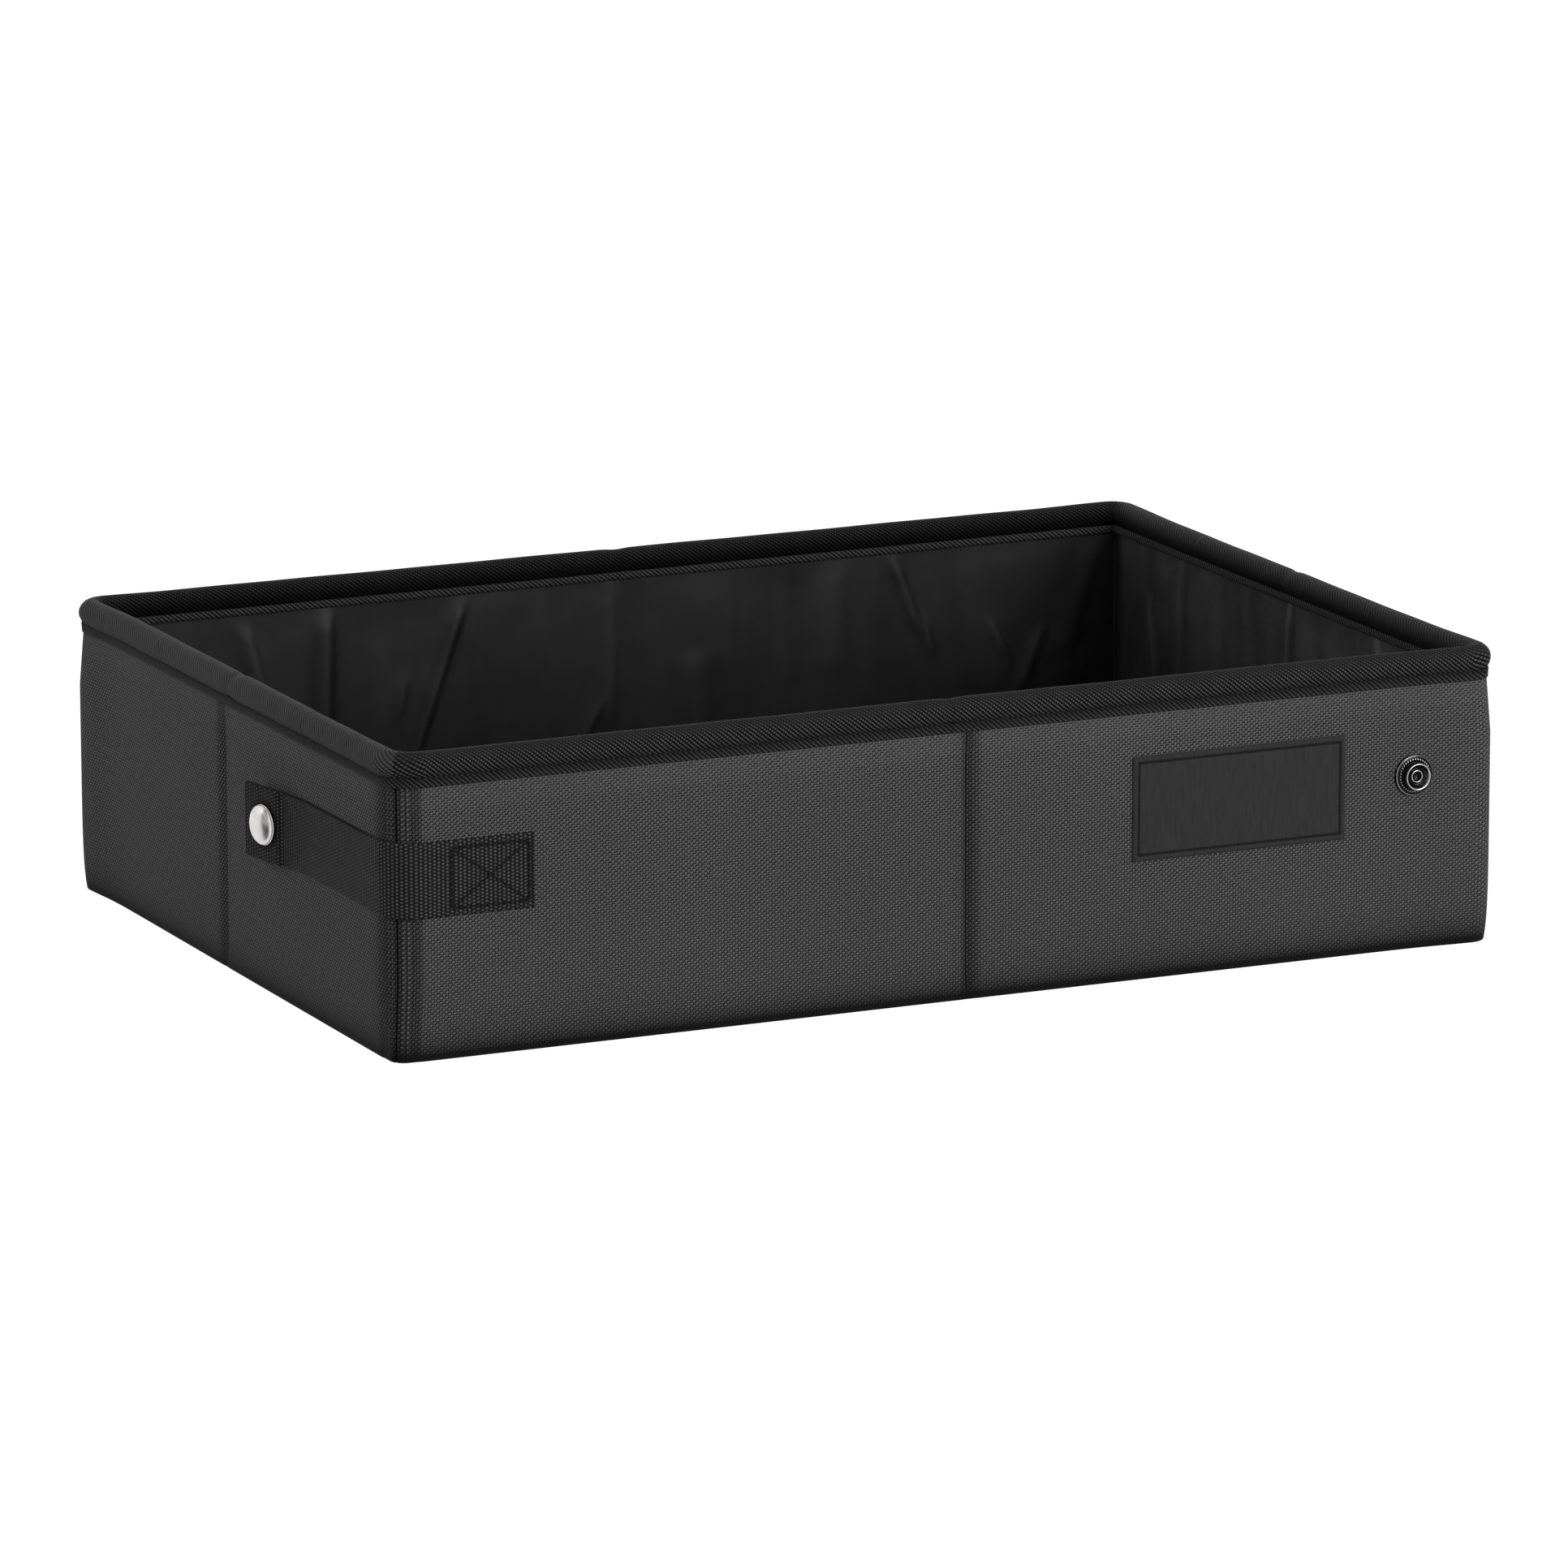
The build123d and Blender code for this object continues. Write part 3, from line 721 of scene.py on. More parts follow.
# Binding tape: a twill tape folded over the top edge of both skins and sewn through.
# It shows as a narrow ledge outside and a ribbed cord-like line inside, right under the rim.
tape_sides = np.array([
    (0.5, 94.2), (-0.6, 93.6), (-4.6, 93.8), (-5.6, 94.2), (-6.4, 94.1), (-6.75, 93.4), (-6.75, 92.2), (-6.3, 91.5),
    (-5.3, 91.3), (-5.0, 91.4), (-0.1, 91.6), (0.0, 90.7), (0.3, 90.5), (0.5, 90.7), (0.62, 91.3), (0.72, 92.6),
    (0.85, 93.8),
]) * mm
tape_round = run_along(*np.vstack([tape_sides, tape_sides[:1]]).T)
tape_finish, tree, shader = new_finish("binding_tape", Roughness=0.85, Specular_IOR_Level=0.06)
along, around = thread_places(tree, wander=0.12 * mm)
slant_waves = [(0.54, 0.63, 1.0), (0.47, -1.03, 0.35), (1.01, -0.41, 0.35)]
ribs = wave_sum(tree, along, around, slant_waves)
shade = shades(tree, ribs, [(0.25, 0.002), (0.5, 0.012), (0.75, 0.03), (1.0, 0.05)])
true_along, true_around = thread_places(tree)
# Painted light: the cord-like strip inside is painted nearly twice as light, standing in for light falling on it
inner_strip_painted_light = maths(tree, "MULTIPLY_ADD", plateau(tree, true_around, [8.2 * mm], 2.3 * mm, 0.3 * mm), 0.9, 1.0)
low_edge, high_edge = float(tape_round[13]), float(tape_round[16])
# Painted light and shade: the outside ledge is lighter at its foot, darker up under the rim, and lighter along the
# side walls
ledge_painted_light = fit(tree, true_around, low_edge, high_edge, 1.65, 0.75)
on_ledge = maths(tree, "GREATER_THAN", true_around, low_edge - 0.3 * mm)
beside_sides = plateau(tree, true_along, [left_middle_run, right_middle_run], 135 * mm, 5 * mm)
ledge_painted_light = marked(tree, ledge_painted_light, beside_sides, 0.35)
painted_light_and_wear = node(tree, "ShaderNodeMix", {0: on_ledge, 2: inner_strip_painted_light, 3: ledge_painted_light}, data_type="FLOAT").outputs[0]
dress(tree, shader, toned(tree, shade, painted_light_and_wear), ribs, 0.25 * mm, 0.6)

for number, name in enumerate(lengths):
    run = np.linspace(wall_stops[number], wall_stops[number + 1], 150)
    out_at, run_at = tape_sides[:, :1] + 0 * run, run + 0 * tape_sides[:, :1]
    heights = tape_sides[:, 1:] + 0 * run
    x, y = on_wall(run_at, heights, out_at, puffed=np.clip(1 + out_at / (4 * mm), 0, 1))
    tape = woven_surface(
        "binding_tape_" + name, np.stack([x, y, heights], -1), run, tape_round, tape_finish, ring=True
    )
    fold_with_walls(tape, name, ["binding"])


# Padded rim: a tube of open black mesh cloth cut on the bias over a foam cord, set on the taped edge.
# Its threads run slantwise round it, and it is nipped in a little at the four creases.
rim_radius, rim_level = 4.7 * mm, 97.3 * mm
rim_half_length, rim_half_width, rim_corner, eased_rim_corner = 197.5 * mm, 135.5 * mm, 4.85 * mm, 8.5 * mm
rim = wall_line(rim_half_length, rim_half_width, rim_corner)
eased_rim = wall_line(rim_half_length, rim_half_width, eased_rim_corner)
rim_stops = panel_stops(rim)
rim_corners, rim_middles = fold_places(rim)
rim_nip, rim_nip_breadth, rim_puff, rim_puff_breadth = 0.09, 3.5 * mm, 1.4 * mm, 22 * mm


def rim_arc(degrees):
    """The distance round the rim to an angle, which is 0 outside, 90 on top and 180 inside."""
    return np.radians(degrees) * rim_radius


def rim_finish(name, dark_shade, pale_shade, painted_contrast):
    """The mesh cloth: slanting rows of pale thread dots over black gaps. On the outer lower side and the inner side
    the rows are painted with more contrast at a lower level, painted shade in the gaps and painted highlights on
    the dots;
    the rim is painted darker as shade over its top to the inner side, and on its underside."""
    finish, tree, shader = new_finish(name, Roughness=0.75, Specular_IOR_Level=0.06)
    along, around = thread_places(tree, wander=0.12 * mm)
    _, true_around = thread_places(tree)
    rows = wave_sum(tree, along, around, slant_waves)
    # Painted shade and highlight: on the outer lower side and the inner side the rows get more contrast at a lower
    # level
    low_side = near(tree, true_around, [rim_arc(-25)], rim_arc(68))
    inner_side = near(tree, true_around, [rim_arc(180)], rim_arc(115))
    shade_and_highlight_zone = maths(tree, "MAXIMUM", low_side, inner_side)
    contrast = maths(tree, "MULTIPLY_ADD", shade_and_highlight_zone, painted_contrast, 0.45)
    level = maths(tree, "MULTIPLY_ADD", shade_and_highlight_zone, -0.09 * painted_contrast, 0.5)
    threads = maths(tree, "MULTIPLY_ADD", maths(tree, "SUBTRACT", rows, 0.5), contrast, level)
    shade = shades(
        tree, threads,
        [(0.2, 0.001), (0.38, dark_shade * 0.3), (0.5, dark_shade), (0.68, pale_shade), (1.0, pale_shade * 2.0)]
    )
    # Painted shade: the rim darkens from above its middle over the top to the inner side, and on its underside
    inner_painted_shade = fit(tree, true_around, rim_arc(45), rim_arc(185), 1.0, 0.12)
    under = fit(tree, true_around, rim_arc(-70), rim_arc(-20), 0.55, 1.0)
    painted_light_and_wear = maths(tree, "MULTIPLY", maths(tree, "MULTIPLY", inner_painted_shade, under), mottle(tree, 8 * mm, 0.88, 1.12))
    dress(tree, shader, toned(tree, shade, painted_light_and_wear), threads, thread_relief, 0.6)
    return finish


# Two copies of the rim cloth: the side walls' copy is painted lighter and flatter as a lit copy, the long walls'
# copy carries the strong painted shade and highlights
long_rim_finish = rim_finish("rim_cloth_long_walls", 0.018, 0.043, 4.2)
side_rim_finish = rim_finish("rim_cloth_side_walls", 0.056, 0.072, 0.3)

rim_steps = 28
slow_wobble, slow_pitch, quick_wobble, quick_pitch = 0.012, 17 * mm, 0.008, 6.3 * mm
flat_below = 0.05
turn = np.linspace(-0.6 * np.pi, 1.4 * np.pi, rim_steps + 1)
for number, name in enumerate(lengths):
    run = np.linspace(rim_stops[number], rim_stops[number + 1], 190)
    run_at, turn_at = np.meshgrid(run, turn[:-1])
    nip = 1 - rim_nip * bell(distance_from(run_at, rim_middles), rim_nip_breadth)
    wobble = 1 + slow_wobble * np.sin(run_at / slow_pitch) + quick_wobble * np.sin(
        run_at / quick_pitch + 2 * turn_at
    )
    radius = rim_radius * nip * wobble * (1 - flat_below * np.clip(-np.sin(turn_at), 0, 1) ** 2)
    puff = rim_puff * bell(distance_from(run_at, rim_corners[[0, 2, 3]]), rim_puff_breadth)
    x, y = opened_line(rim, eased_rim, run_at, radius * np.cos(turn_at) + puff, beside_sewn(run_at, rim_corners[1]))
    tube = woven_surface(
        "rim_cover_" + name, np.stack([x, y, rim_level + radius * np.sin(turn_at)], -1), run, turn * rim_radius,
        long_rim_finish, ring=True
    )
    tube.data.materials.append(side_rim_finish)
    on_side = np.searchsorted(rim_corners, (run[1:] + run[:-1]) / 2) % 2
    tube.data.polygons.foreach_set(
        "material_index", np.concatenate([np.tile(on_side, rim_steps), on_side[[0, -1]]]).astype(np.int32)
    )
    fold_with_walls(tube, name, ["rim", "rim_core"])


def gather_with_fold(piece):
    """The soft base rides with the back wall, on its own copy of its mesh."""
    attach(piece, "base_and_back")
    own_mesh(piece)
    return piece


def slab(name, inset, low, high, edge, finish, top_swell=None):
    """A thin slab with rounded edges, as one skin in rings about its middle. The rings grow over the bottom, climb
    round the edge in a half circle, and shrink again over the top. The least ring leaves a small hole."""
    line = wall_line(box_length / 2 - inset, box_width / 2 - inset, corner_radius)
    run = np.linspace(0, line["run"][-1], 481)
    x, y = on_line(line, run, 0)
    least_ring = 0.002
    growing = np.linspace(least_ring, 1, 27)[:-1] ** 0.8
    climb = np.linspace(-np.pi / 2, np.pi / 2, 9)
    share = np.concatenate([growing, 1 - (1 - np.cos(climb)) * edge / (box_width / 2), growing[::-1]])[:, None]
    height = np.concatenate(
        [0 * growing + low, (low + high) / 2 + (high - low) / 2 * np.sin(climb), 0 * growing + high]
    )[:, None]
    spread_x, spread_y, height = x * share, y * share, height + 0 * run
    if top_swell is not None:
        height = height + np.where(height >= high - 1e-7, top_swell(spread_x, spread_y), 0)
    points = np.stack([spread_x, spread_y, height], -1)[::-1]
    distance = np.abs(np.concatenate([[0], np.cumsum(np.linalg.norm(np.diff(points[:, 0], axis=0), axis=-1))]))
    return woven_surface(name, points, run, distance, finish, places=points[..., :2])


floor_half_length, floor_half_width, ripple_height = 198 * mm, 136 * mm, 0.25 * mm


def floor_swell(x, y):
    """Low soft ripples in the floor liner, flat at its edge."""
    edge = np.clip(1 - np.abs(x) / floor_half_length, 0, 1) * np.clip(1 - np.abs(y) / floor_half_width, 0, 1)
    ripples = np.sin(x / (21 * mm) + 2 * np.sin(y / (45 * mm))) + 0.6 * np.sin(y / (17 * mm) + x / (60 * mm))
    return ripple_height * ripples * np.clip(edge * 8, 0, 1)


pad_finish, tree, shader = new_finish("base_foam", Roughness=0.9)
cells = node(tree, "ShaderNodeTexVoronoi", {"Vector": own_place(tree), "Scale": 900.0})
shade = shades(tree, cells.outputs["Distance"], [(0.0, 0.2), (0.6, 0.32)])
dress(tree, shader, shade, cells.outputs["Distance"], 0.2 * mm, 0.6)

base_cloth_finish, tree, shader = new_finish("base_cloth", Roughness=0.8, Specular_IOR_Level=0.08)
threads = cloth_weave(tree, turned=False)
dress(tree, shader, shades(tree, threads, weave_shades), threads, thread_relief, 0.5)
bottom = gather_with_fold(slab(
    "base_bottom_cloth", inset=0.8 * mm, low=0.0, high=1.0 * mm, edge=0.5 * mm, finish=base_cloth_finish
))
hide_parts("base_cloth")
pad = gather_with_fold(slab(
    "base_pad_soft", inset=2.2 * mm, low=1.1 * mm, high=2.9 * mm, edge=0.9 * mm, finish=pad_finish
))
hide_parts("base_pad")
floor_liner = gather_with_fold(slab(
    "base_floor_liner", inset=2.0 * mm, low=3.0 * mm, high=3.8 * mm, edge=0.4 * mm, finish=liner_finish,
    top_swell=floor_swell
))
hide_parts("base_liner")


# Inside the walls: grey fibre boards between the two skins, and the turned-in cloth of each corner.
# They do not show in use, but they are what keeps the walls up.
board_finish, tree, shader = new_finish("fibre_board", Roughness=0.85)
fibres = noise(tree, scaled_place(tree, own_place(tree), (1.0, 1.0, 4.0)), 350.0, 6.0)
board_colour = shades(tree, fibres, [(0.35, (0.16, 0.13, 0.1)), (0.7, (0.36, 0.31, 0.25))])
dress(tree, shader, board_colour, fibres, 0.2 * mm, 0.5)

allowance_finish, tree, shader = new_finish("seam_allowance", Roughness=0.85)
split = node(tree, "ShaderNodeSeparateXYZ", {0: own_place(tree)})
threads = wave_sum(tree, maths(tree, "ADD", split.outputs[0], split.outputs[1]), split.outputs[2], weave_waves)
dress(tree, shader, shades(tree, threads, weave_shades), threads, thread_relief, 0.5)

for name, cad_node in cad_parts.items():
    if name.endswith("_board"):
        cad_node.data.materials.clear()
        cad_node.data.materials.append(board_finish)

allowance_reach = 6 * mm
allowance_foot, allowance_top, allowance_inner, allowance_outer = 5 * mm, 91 * mm, -3.9 * mm, -1.2 * mm
allowance_loop = 180 * mm
allowance_rise = np.linspace(allowance_foot, allowance_top, 20)
allowance_heights = np.concatenate([allowance_rise[::-1], allowance_rise])
allowance_out = np.repeat([allowance_inner, allowance_outer], len(allowance_rise))
allowance_round = np.concatenate(
    [[0], np.cumsum(np.abs(np.diff(allowance_heights)) + np.abs(np.diff(allowance_out))), [allowance_loop]]
)
allowance_bodies = {
    "back_left": "base_and_back",
    "front_left": "front_left_wall",
    "front_right": "front_right_wall",
    "back_right": "base_and_back",
}
for place, (name, body) in zip(corner_places, allowance_bodies.items()):
    run = np.linspace(place - allowance_reach, place + allowance_reach, 17)
    height_at, run_at = allowance_heights[:, None] + 0 * run, run + 0 * allowance_heights[:, None]
    x, y = on_wall(run_at, height_at, allowance_out[:, None])
    turned_in = woven_surface(
        "turned_in_cloth_" + name, np.stack([x, y, height_at], -1), run, allowance_round, allowance_finish,
        ring=True
    )
    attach(turned_in, body)
    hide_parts(name + "_corner_seam")


# Label patch: a piece of fine dark cloth sewn to the front wall near its right end, left plain.
# A line of small stitches runs just inside its edge and draws the cloth down.
patch_level, patch_length, patch_height = 58.3 * mm, 80 * mm, 36 * mm
patch_thickness, patch_hem = 0.9 * mm, 2.3 * mm
patch_centre_x, patch_back = 105.7 * mm, 0.5 * mm
patch_edge, edge_left = 0.45 * mm, 0.25
hem_depth, hem_breadth, middle_fall, middle_fall_reach = 0.35 * mm, 0.45 * mm, 0.12 * mm, 1 * mm


def front_seat(x, height):
    """The outer face of the front wall at a distance right of the middle."""
    return -box_width / 2 - wall_swell(front_middle_run + x, height)


patch_finish, tree, shader = new_finish("patch_cloth", Roughness=0.75, Specular_IOR_Level=0.08)
along, upward = thread_places(tree, wander=0.08 * mm, wander_size=3 * mm)
fine = maths(tree, "MULTIPLY", swing(tree, along, 0.62 * mm), swing(tree, upward, 0.55 * mm))
fine = maths(tree, "MULTIPLY_ADD", fine, 0.5, 0.5)
tone_and_hem_shade = noise(tree, scaled_place(tree, thread_map(tree), (900.0, 120.0, 1.0)), 1.0, 2.0)
shade = shades(tree, fine, [(0.0, 0.021), (0.6, 0.028), (1.0, 0.037)])
tone_and_hem_shade = cloudy(tree, tone_and_hem_shade, 0.88, 1.14)
# Painted shade: the stitched groove just inside the patch's edge is darkened in the colour
past_side = maths(tree, "SUBTRACT", maths(tree, "ABSOLUTE", along), patch_length / 2 - patch_hem)
past_top = maths(tree, "SUBTRACT", maths(tree, "ABSOLUTE", upward), patch_height / 2 - patch_hem)
past_hem = maths(tree, "MAXIMUM", past_side, past_top)
tone_and_hem_shade = marked(tree, tone_and_hem_shade, plateau(tree, past_hem, [0.0], 0.5 * mm, 0.2 * mm), -0.6)
dress(tree, shader, toned(tree, shade, tone_and_hem_shade), fine, 0.08 * mm, 0.5)

patch_x = np.linspace(-0.5, 0.5, 161) * patch_length
patch_z = np.linspace(-0.5, 0.5, 73) * patch_height
x_at, z_at = np.meshgrid(patch_x, patch_z)
from_edge = np.minimum(patch_length / 2 - np.abs(x_at), patch_height / 2 - np.abs(z_at))
edge_round = np.sqrt(np.clip(1 - (1 - np.clip(from_edge / patch_edge, 0, 1)) ** 2, 0, 1))
drawn_down = hem_depth * bell(from_edge - patch_hem, hem_breadth)
inner_fall = middle_fall * np.clip((from_edge - patch_hem) / middle_fall_reach, 0, 1)
proud = patch_thickness * (edge_left + (1 - edge_left) * edge_round) - drawn_down - inner_fall
seat = front_seat(patch_centre_x + x_at, patch_level + z_at)
face = np.stack([patch_centre_x + x_at, seat - proud, patch_level + z_at], -1)
patch = woven_surface("label_patch_cloth", face, patch_x, patch_z, patch_finish)
give_thickness(patch, patch_back)
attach(patch, "front_right_wall")
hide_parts("label_patch")


def tube_faces(rings, points):
    """The side faces of a tube made of rings that all have the same number of points, and its two end faces."""
    ring, point = np.meshgrid(np.arange(rings - 1) * points, np.arange(points), indexing="ij")
    after = (point + 1) % points
    sides = np.stack([ring + point, ring + after, ring + points + after, ring + points + point], -1)
    return sides.reshape(-1, 4), np.arange(points)[::-1], np.arange(points) + (rings - 1) * points


def stitch_row(name, starts, ends, outward, body, finish, thickness):
    """A row of stitches as one mesh: each is a short thread that rises out of the cloth and goes back in.
    Five rings of six points follow a low arch from its start to its end, thinner at both ends."""
    starts, ends, outward = (np.asarray(part, float) for part in (starts, ends, outward))
    share = np.array([0.0, 0.15, 0.5, 0.85, 1.0])
    girth = np.array([0.35, 0.85, 1.0, 0.85, 0.35]) * thickness / 2
    arch = np.array([-0.4, 0.15, 0.35, 0.15, -0.4]) * thickness
    turn = np.arange(6) * np.pi / 3
    ahead = ends - starts
    ahead_unit = ahead / np.linalg.norm(ahead, axis=-1, keepdims=True)
    sideways = np.cross(outward, ahead_unit)
    spine = starts[:, None] + ahead[:, None] * share[:, None] + outward[:, None] * arch[:, None]
    ring = np.cos(turn)[:, None] * sideways[:, None, None] + np.sin(turn)[:, None] * outward[:, None, None]
    points = spine[:, :, None] + ring * girth[:, None, None]
    shift = np.arange(len(starts))[:, None] * len(share) * len(turn)
    sides, near_end, far_end = tube_faces(len(share), len(turn))
    sides = (sides + shift[..., None]).reshape(-1, 4)
    faces = sides.tolist() + (near_end + shift).tolist() + (far_end + shift).tolist()
    piece = new_piece(name, points.reshape(-1, 3).tolist(), faces, finish, rounded=True)
    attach(piece, body)
    return piece


def stitch_line(corners, pitch, gap):
    """The starts and ends of equal stitches along straight runs between corner points."""
    starts, ends = [], []
    for first, second in zip(corners[:-1], corners[1:]):
        first, second = np.array(first, float), np.array(second, float)
        count = max(2, int(round(np.linalg.norm(second - first) / pitch)))
        share = np.arange(count)[:, None] / count
        starts.append(first + (second - first) * (share + gap / 2 / count))
        ends.append(first + (second - first) * (share + (1 - gap / 2) / count))
    return np.concatenate(starts), np.concatenate(ends)


thread_finish, tree, shader = new_finish("black_thread", Roughness=0.7, Specular_IOR_Level=0.1)
twist = noise(tree, own_place(tree), 2500.0, 2.0)
dress(tree, shader, shades(tree, twist, [(0.3, 0.002), (0.7, 0.008)]), twist, 0.1 * mm, 0.5)

hem_x, hem_z = patch_length / 2 - patch_hem, patch_height / 2 - patch_hem
corners = [(-hem_x, -hem_z), (hem_x, -hem_z), (hem_x, hem_z), (-hem_x, hem_z), (-hem_x, -hem_z)]
starts, ends = stitch_line(corners, 1.25 * mm, 0.2)


def on_patch(flat):
    """Points on the sewn line of the patch, from their place on its face."""
    x, z = patch_centre_x + flat[:, 0], patch_level + flat[:, 1]
    return np.stack([x, front_seat(x, z) - patch_thickness + 0.38 * mm, z], -1)


facing_front = np.tile([0.0, -1.0, 0.0], (len(starts), 1))
patch_thread = stitch_row(
    "patch_stitching", on_patch(starts), on_patch(ends), facing_front, "front_right_wall", thread_finish, 0.4 * mm
)


# Press studs: a dark nickel post half on the front wall, and its twin under the strap on the left wall.
# Each is pressed from sheet: a flange with a beaded ring, a waisted cup and a rolled eyelet in its middle.
def turned_piece(name, outline, middle, out_direction, finish, body, beads=0, bead_depth=0, steps=96):
    """A turned piece: its half section, given as distances from the axis and off the wall, is carried round the
    axis. Beads lift the flange where their share of the section falls, and the last share tells how bright the
    metal is painted there, for rubbed wear and a painted highlight on the raised rings."""
    outline = np.array(outline, float)
    turn = np.arange(steps) * 2 * np.pi / steps
    out_direction = np.array(out_direction, float)
    side = np.cross([0, 0, 1], out_direction)
    radius, height = outline[:, :1] + 0 * turn, outline[:, 1:2] + 0 * turn
    wave = 0.5 + 0.5 * np.cos(beads * turn)
    height = height + bead_depth * outline[:, 2:3] * wave
    painted_light_and_wear = outline[:, 3:4] * (1 - outline[:, 2:3] + outline[:, 2:3] * wave**2)
    points = (
        np.array(middle)
        + (radius * np.cos(turn))[..., None] * side
        + (radius * np.sin(turn))[..., None] * np.array([0, 0, 1.0])
        + height[..., None] * out_direction
    )
    sides, near_end, far_end = tube_faces(len(outline), steps)
    faces = sides.tolist() + [near_end.tolist(), far_end.tolist()]
    piece = new_piece(name, points.reshape(-1, 3).tolist(), faces, finish, rounded=True)
    wear_and_highlight_layer = piece.data.attributes.new("painted_light_and_wear", "FLOAT", "POINT")
    wear_and_highlight_layer.data.foreach_set("value", painted_light_and_wear.astype(np.float32).ravel())
    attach(piece, body)
    return piece


dark_nickel, tree, shader = new_finish("dark_nickel", Metallic=1.0, Roughness=0.22)
smudge = noise(tree, own_place(tree), 420.0, 4.0)
# The brighter metal on the raised rings is partly rubbed wear and partly painted highlight
painted_light_and_wear = node(tree, "ShaderNodeAttribute", attribute_name="painted_light_and_wear").outputs["Fac"]
painted_light_and_wear = maths(tree, "MULTIPLY", painted_light_and_wear, cloudy(tree, smudge, 0.75, 1.0))
shade = shades(tree, painted_light_and_wear, [(0.0, 0.006), (0.25, 0.03), (0.6, 0.2), (1.0, 0.55)])
tree.links.new(cloudy(tree, smudge, 0.1, 0.2), shader.inputs["Roughness"])
dress(tree, shader, shade, smudge, 0.03 * mm, 0.3)

# Distance from the axis, height off the wall, share of the beading, and how bright the metal is painted, for rubbed
# wear and painted highlight
stud_outline = [
    (0.02, 1.1, 0, 0.1), (1.4, 1.1, 0, 0.0), (1.55, 1.3, 0, 0.1), (1.6, 2.2, 0, 0.25), (1.8, 2.5, 0, 0.8),
    (2.1, 2.5, 0, 0.8), (2.25, 2.2, 0, 0.2), (2.45, 1.6, 0, 0.0), (3.2, 2.1, 0, 0.12), (3.9, 3.05, 0, 0.3),
    (4.1, 3.5, 0, 0.9), (4.3, 3.65, 0, 1.0), (4.5, 3.6, 0, 0.7), (4.8, 3.3, 0, 0.05), (4.85, 2.8, 0, 0.05),
    (4.75, 2.2, 0, 0.5), (4.4, 1.6, 0, 0.0), (4.3, 1.2, 0, 0.0), (4.5, 0.95, 0, 0.0), (5.0, 0.85, 0, 0.0),
    (5.3, 0.85, 1.0, 0.9), (5.7, 0.85, 1.0, 0.9), (5.95, 0.85, 0, 0.0), (6.5, 0.8, 0, 0.05), (6.8, 0.7, 0, 0.8),
    (6.95, 0.5, 0, 0.6), (7.0, 0.3, 0, 0.1), (7.0, -0.4, 0, 0.0), (6.0, -0.6, 0, 0.0), (0.02, -0.6, 0, 0.0),
]
stud_outline = [(r * mm, h * mm, b, w) for r, h, b, w in stud_outline[::-1]]
front_stud_x, stud_level = 171.5 * mm, 60 * mm
front_stud_run = np.array(front_middle_run + front_stud_x)
stud_swell = wall_swell(front_stud_run, np.array(stud_level))
front_stud_seat = float(on_wall(front_stud_run, stud_level, stud_swell, puffed=1.0)[1]) - 0.3 * mm
front_stud = turned_piece(
    "front_press_stud", stud_outline, (front_stud_x, front_stud_seat, stud_level), (0, -1, 0), dark_nickel,
    "front_right_wall", 36, 0.45 * mm, 144
)
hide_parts("front_stud")
side_stud_y = -42 * mm
side_stud = turned_piece(
    "side_press_stud", stud_outline, (-box_length / 2, side_stud_y, stud_level), (-1, 0, 0), dark_nickel,
    "left_front_panel", 36, 0.3 * mm, 144
)
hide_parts("side_stud")


# Closing strap: black webbing sewn to the front wall with a crossed box of stitches, carried round the corner
# and along the left wall, where its end is turned back on itself and holds the snap's cap and socket.
strap_width, strap_thickness, strap_level = 25 * mm, 1.1 * mm, 60 * mm
strap_off, strap_front_end, turnback_y, strap_end_y = 0.9 * mm, -151 * mm, -52 * mm, -30.8 * mm
end_depth, end_radius = 0.6 * mm, 0.56 * mm
end_start = strap_end_y - end_depth
ply_gap, ply_dive, dive_length = 1.14 * mm, 0.95 * mm, 3 * mm
bend_x, bend_y = eased_radius - box_length / 2, eased_radius - box_width / 2
front_leg = np.linspace(strap_front_end, bend_x, 40)
corner_turn = np.radians(np.linspace(270, 180, 20))[1:-1]
bend_reach = eased_radius + strap_off
side_leg = np.linspace(bend_y, turnback_y, 70)
doubled = np.linspace(turnback_y, end_start, 22)[1:]
end_turn = np.radians(np.linspace(-90, 90, 7))[1:-1]
returned = np.linspace(end_start, turnback_y, 22)
stud_lift, end_slope = 4.6 * mm, 0.185
box_half_length, box_half_height = 13.6 * mm, 10 * mm
box_run = 15.4 * mm


def strap_lift(y):
    """How far the flap's middle line stands off the wall: flat, then a bend of even curve, then a straight slope
    through its stud."""
    bend_length = 2 * (stud_lift - end_slope * (side_stud_y - turnback_y) - strap_off) / end_slope
    bend = end_slope / 2 / bend_length * np.clip(y - turnback_y + bend_length, 0, bend_length) ** 2
    return strap_off + bend + end_slope * np.clip(y - turnback_y, 0, None)


dive = ply_dive * np.clip(1 - (returned - turnback_y) / dive_length, 0, 1) ** 2
path_x = np.concatenate([
    front_leg,
    bend_x + bend_reach * np.cos(corner_turn),
    -box_length / 2 - strap_lift(side_leg),
    -box_length / 2 - strap_lift(doubled),
    -box_length / 2 - strap_lift(strap_end_y) - end_radius - end_radius * np.sin(end_turn),
    -box_length / 2 - strap_lift(returned) - ply_gap + dive,
])
path_y = np.concatenate([
    -box_width / 2 - strap_off + 0 * front_leg,
    bend_y + bend_reach * np.sin(corner_turn),
    side_leg,
    doubled,
    end_start + end_depth * np.cos(end_turn),
    returned,
])
strap_run = run_along(path_x, path_y)
ahead_x, ahead_y = np.gradient(path_x), np.gradient(path_y)
norm = np.hypot(ahead_x, ahead_y)
out_x, out_y = -ahead_y / norm, ahead_x / norm
half_width, half_thick = strap_width / 2, strap_thickness / 2
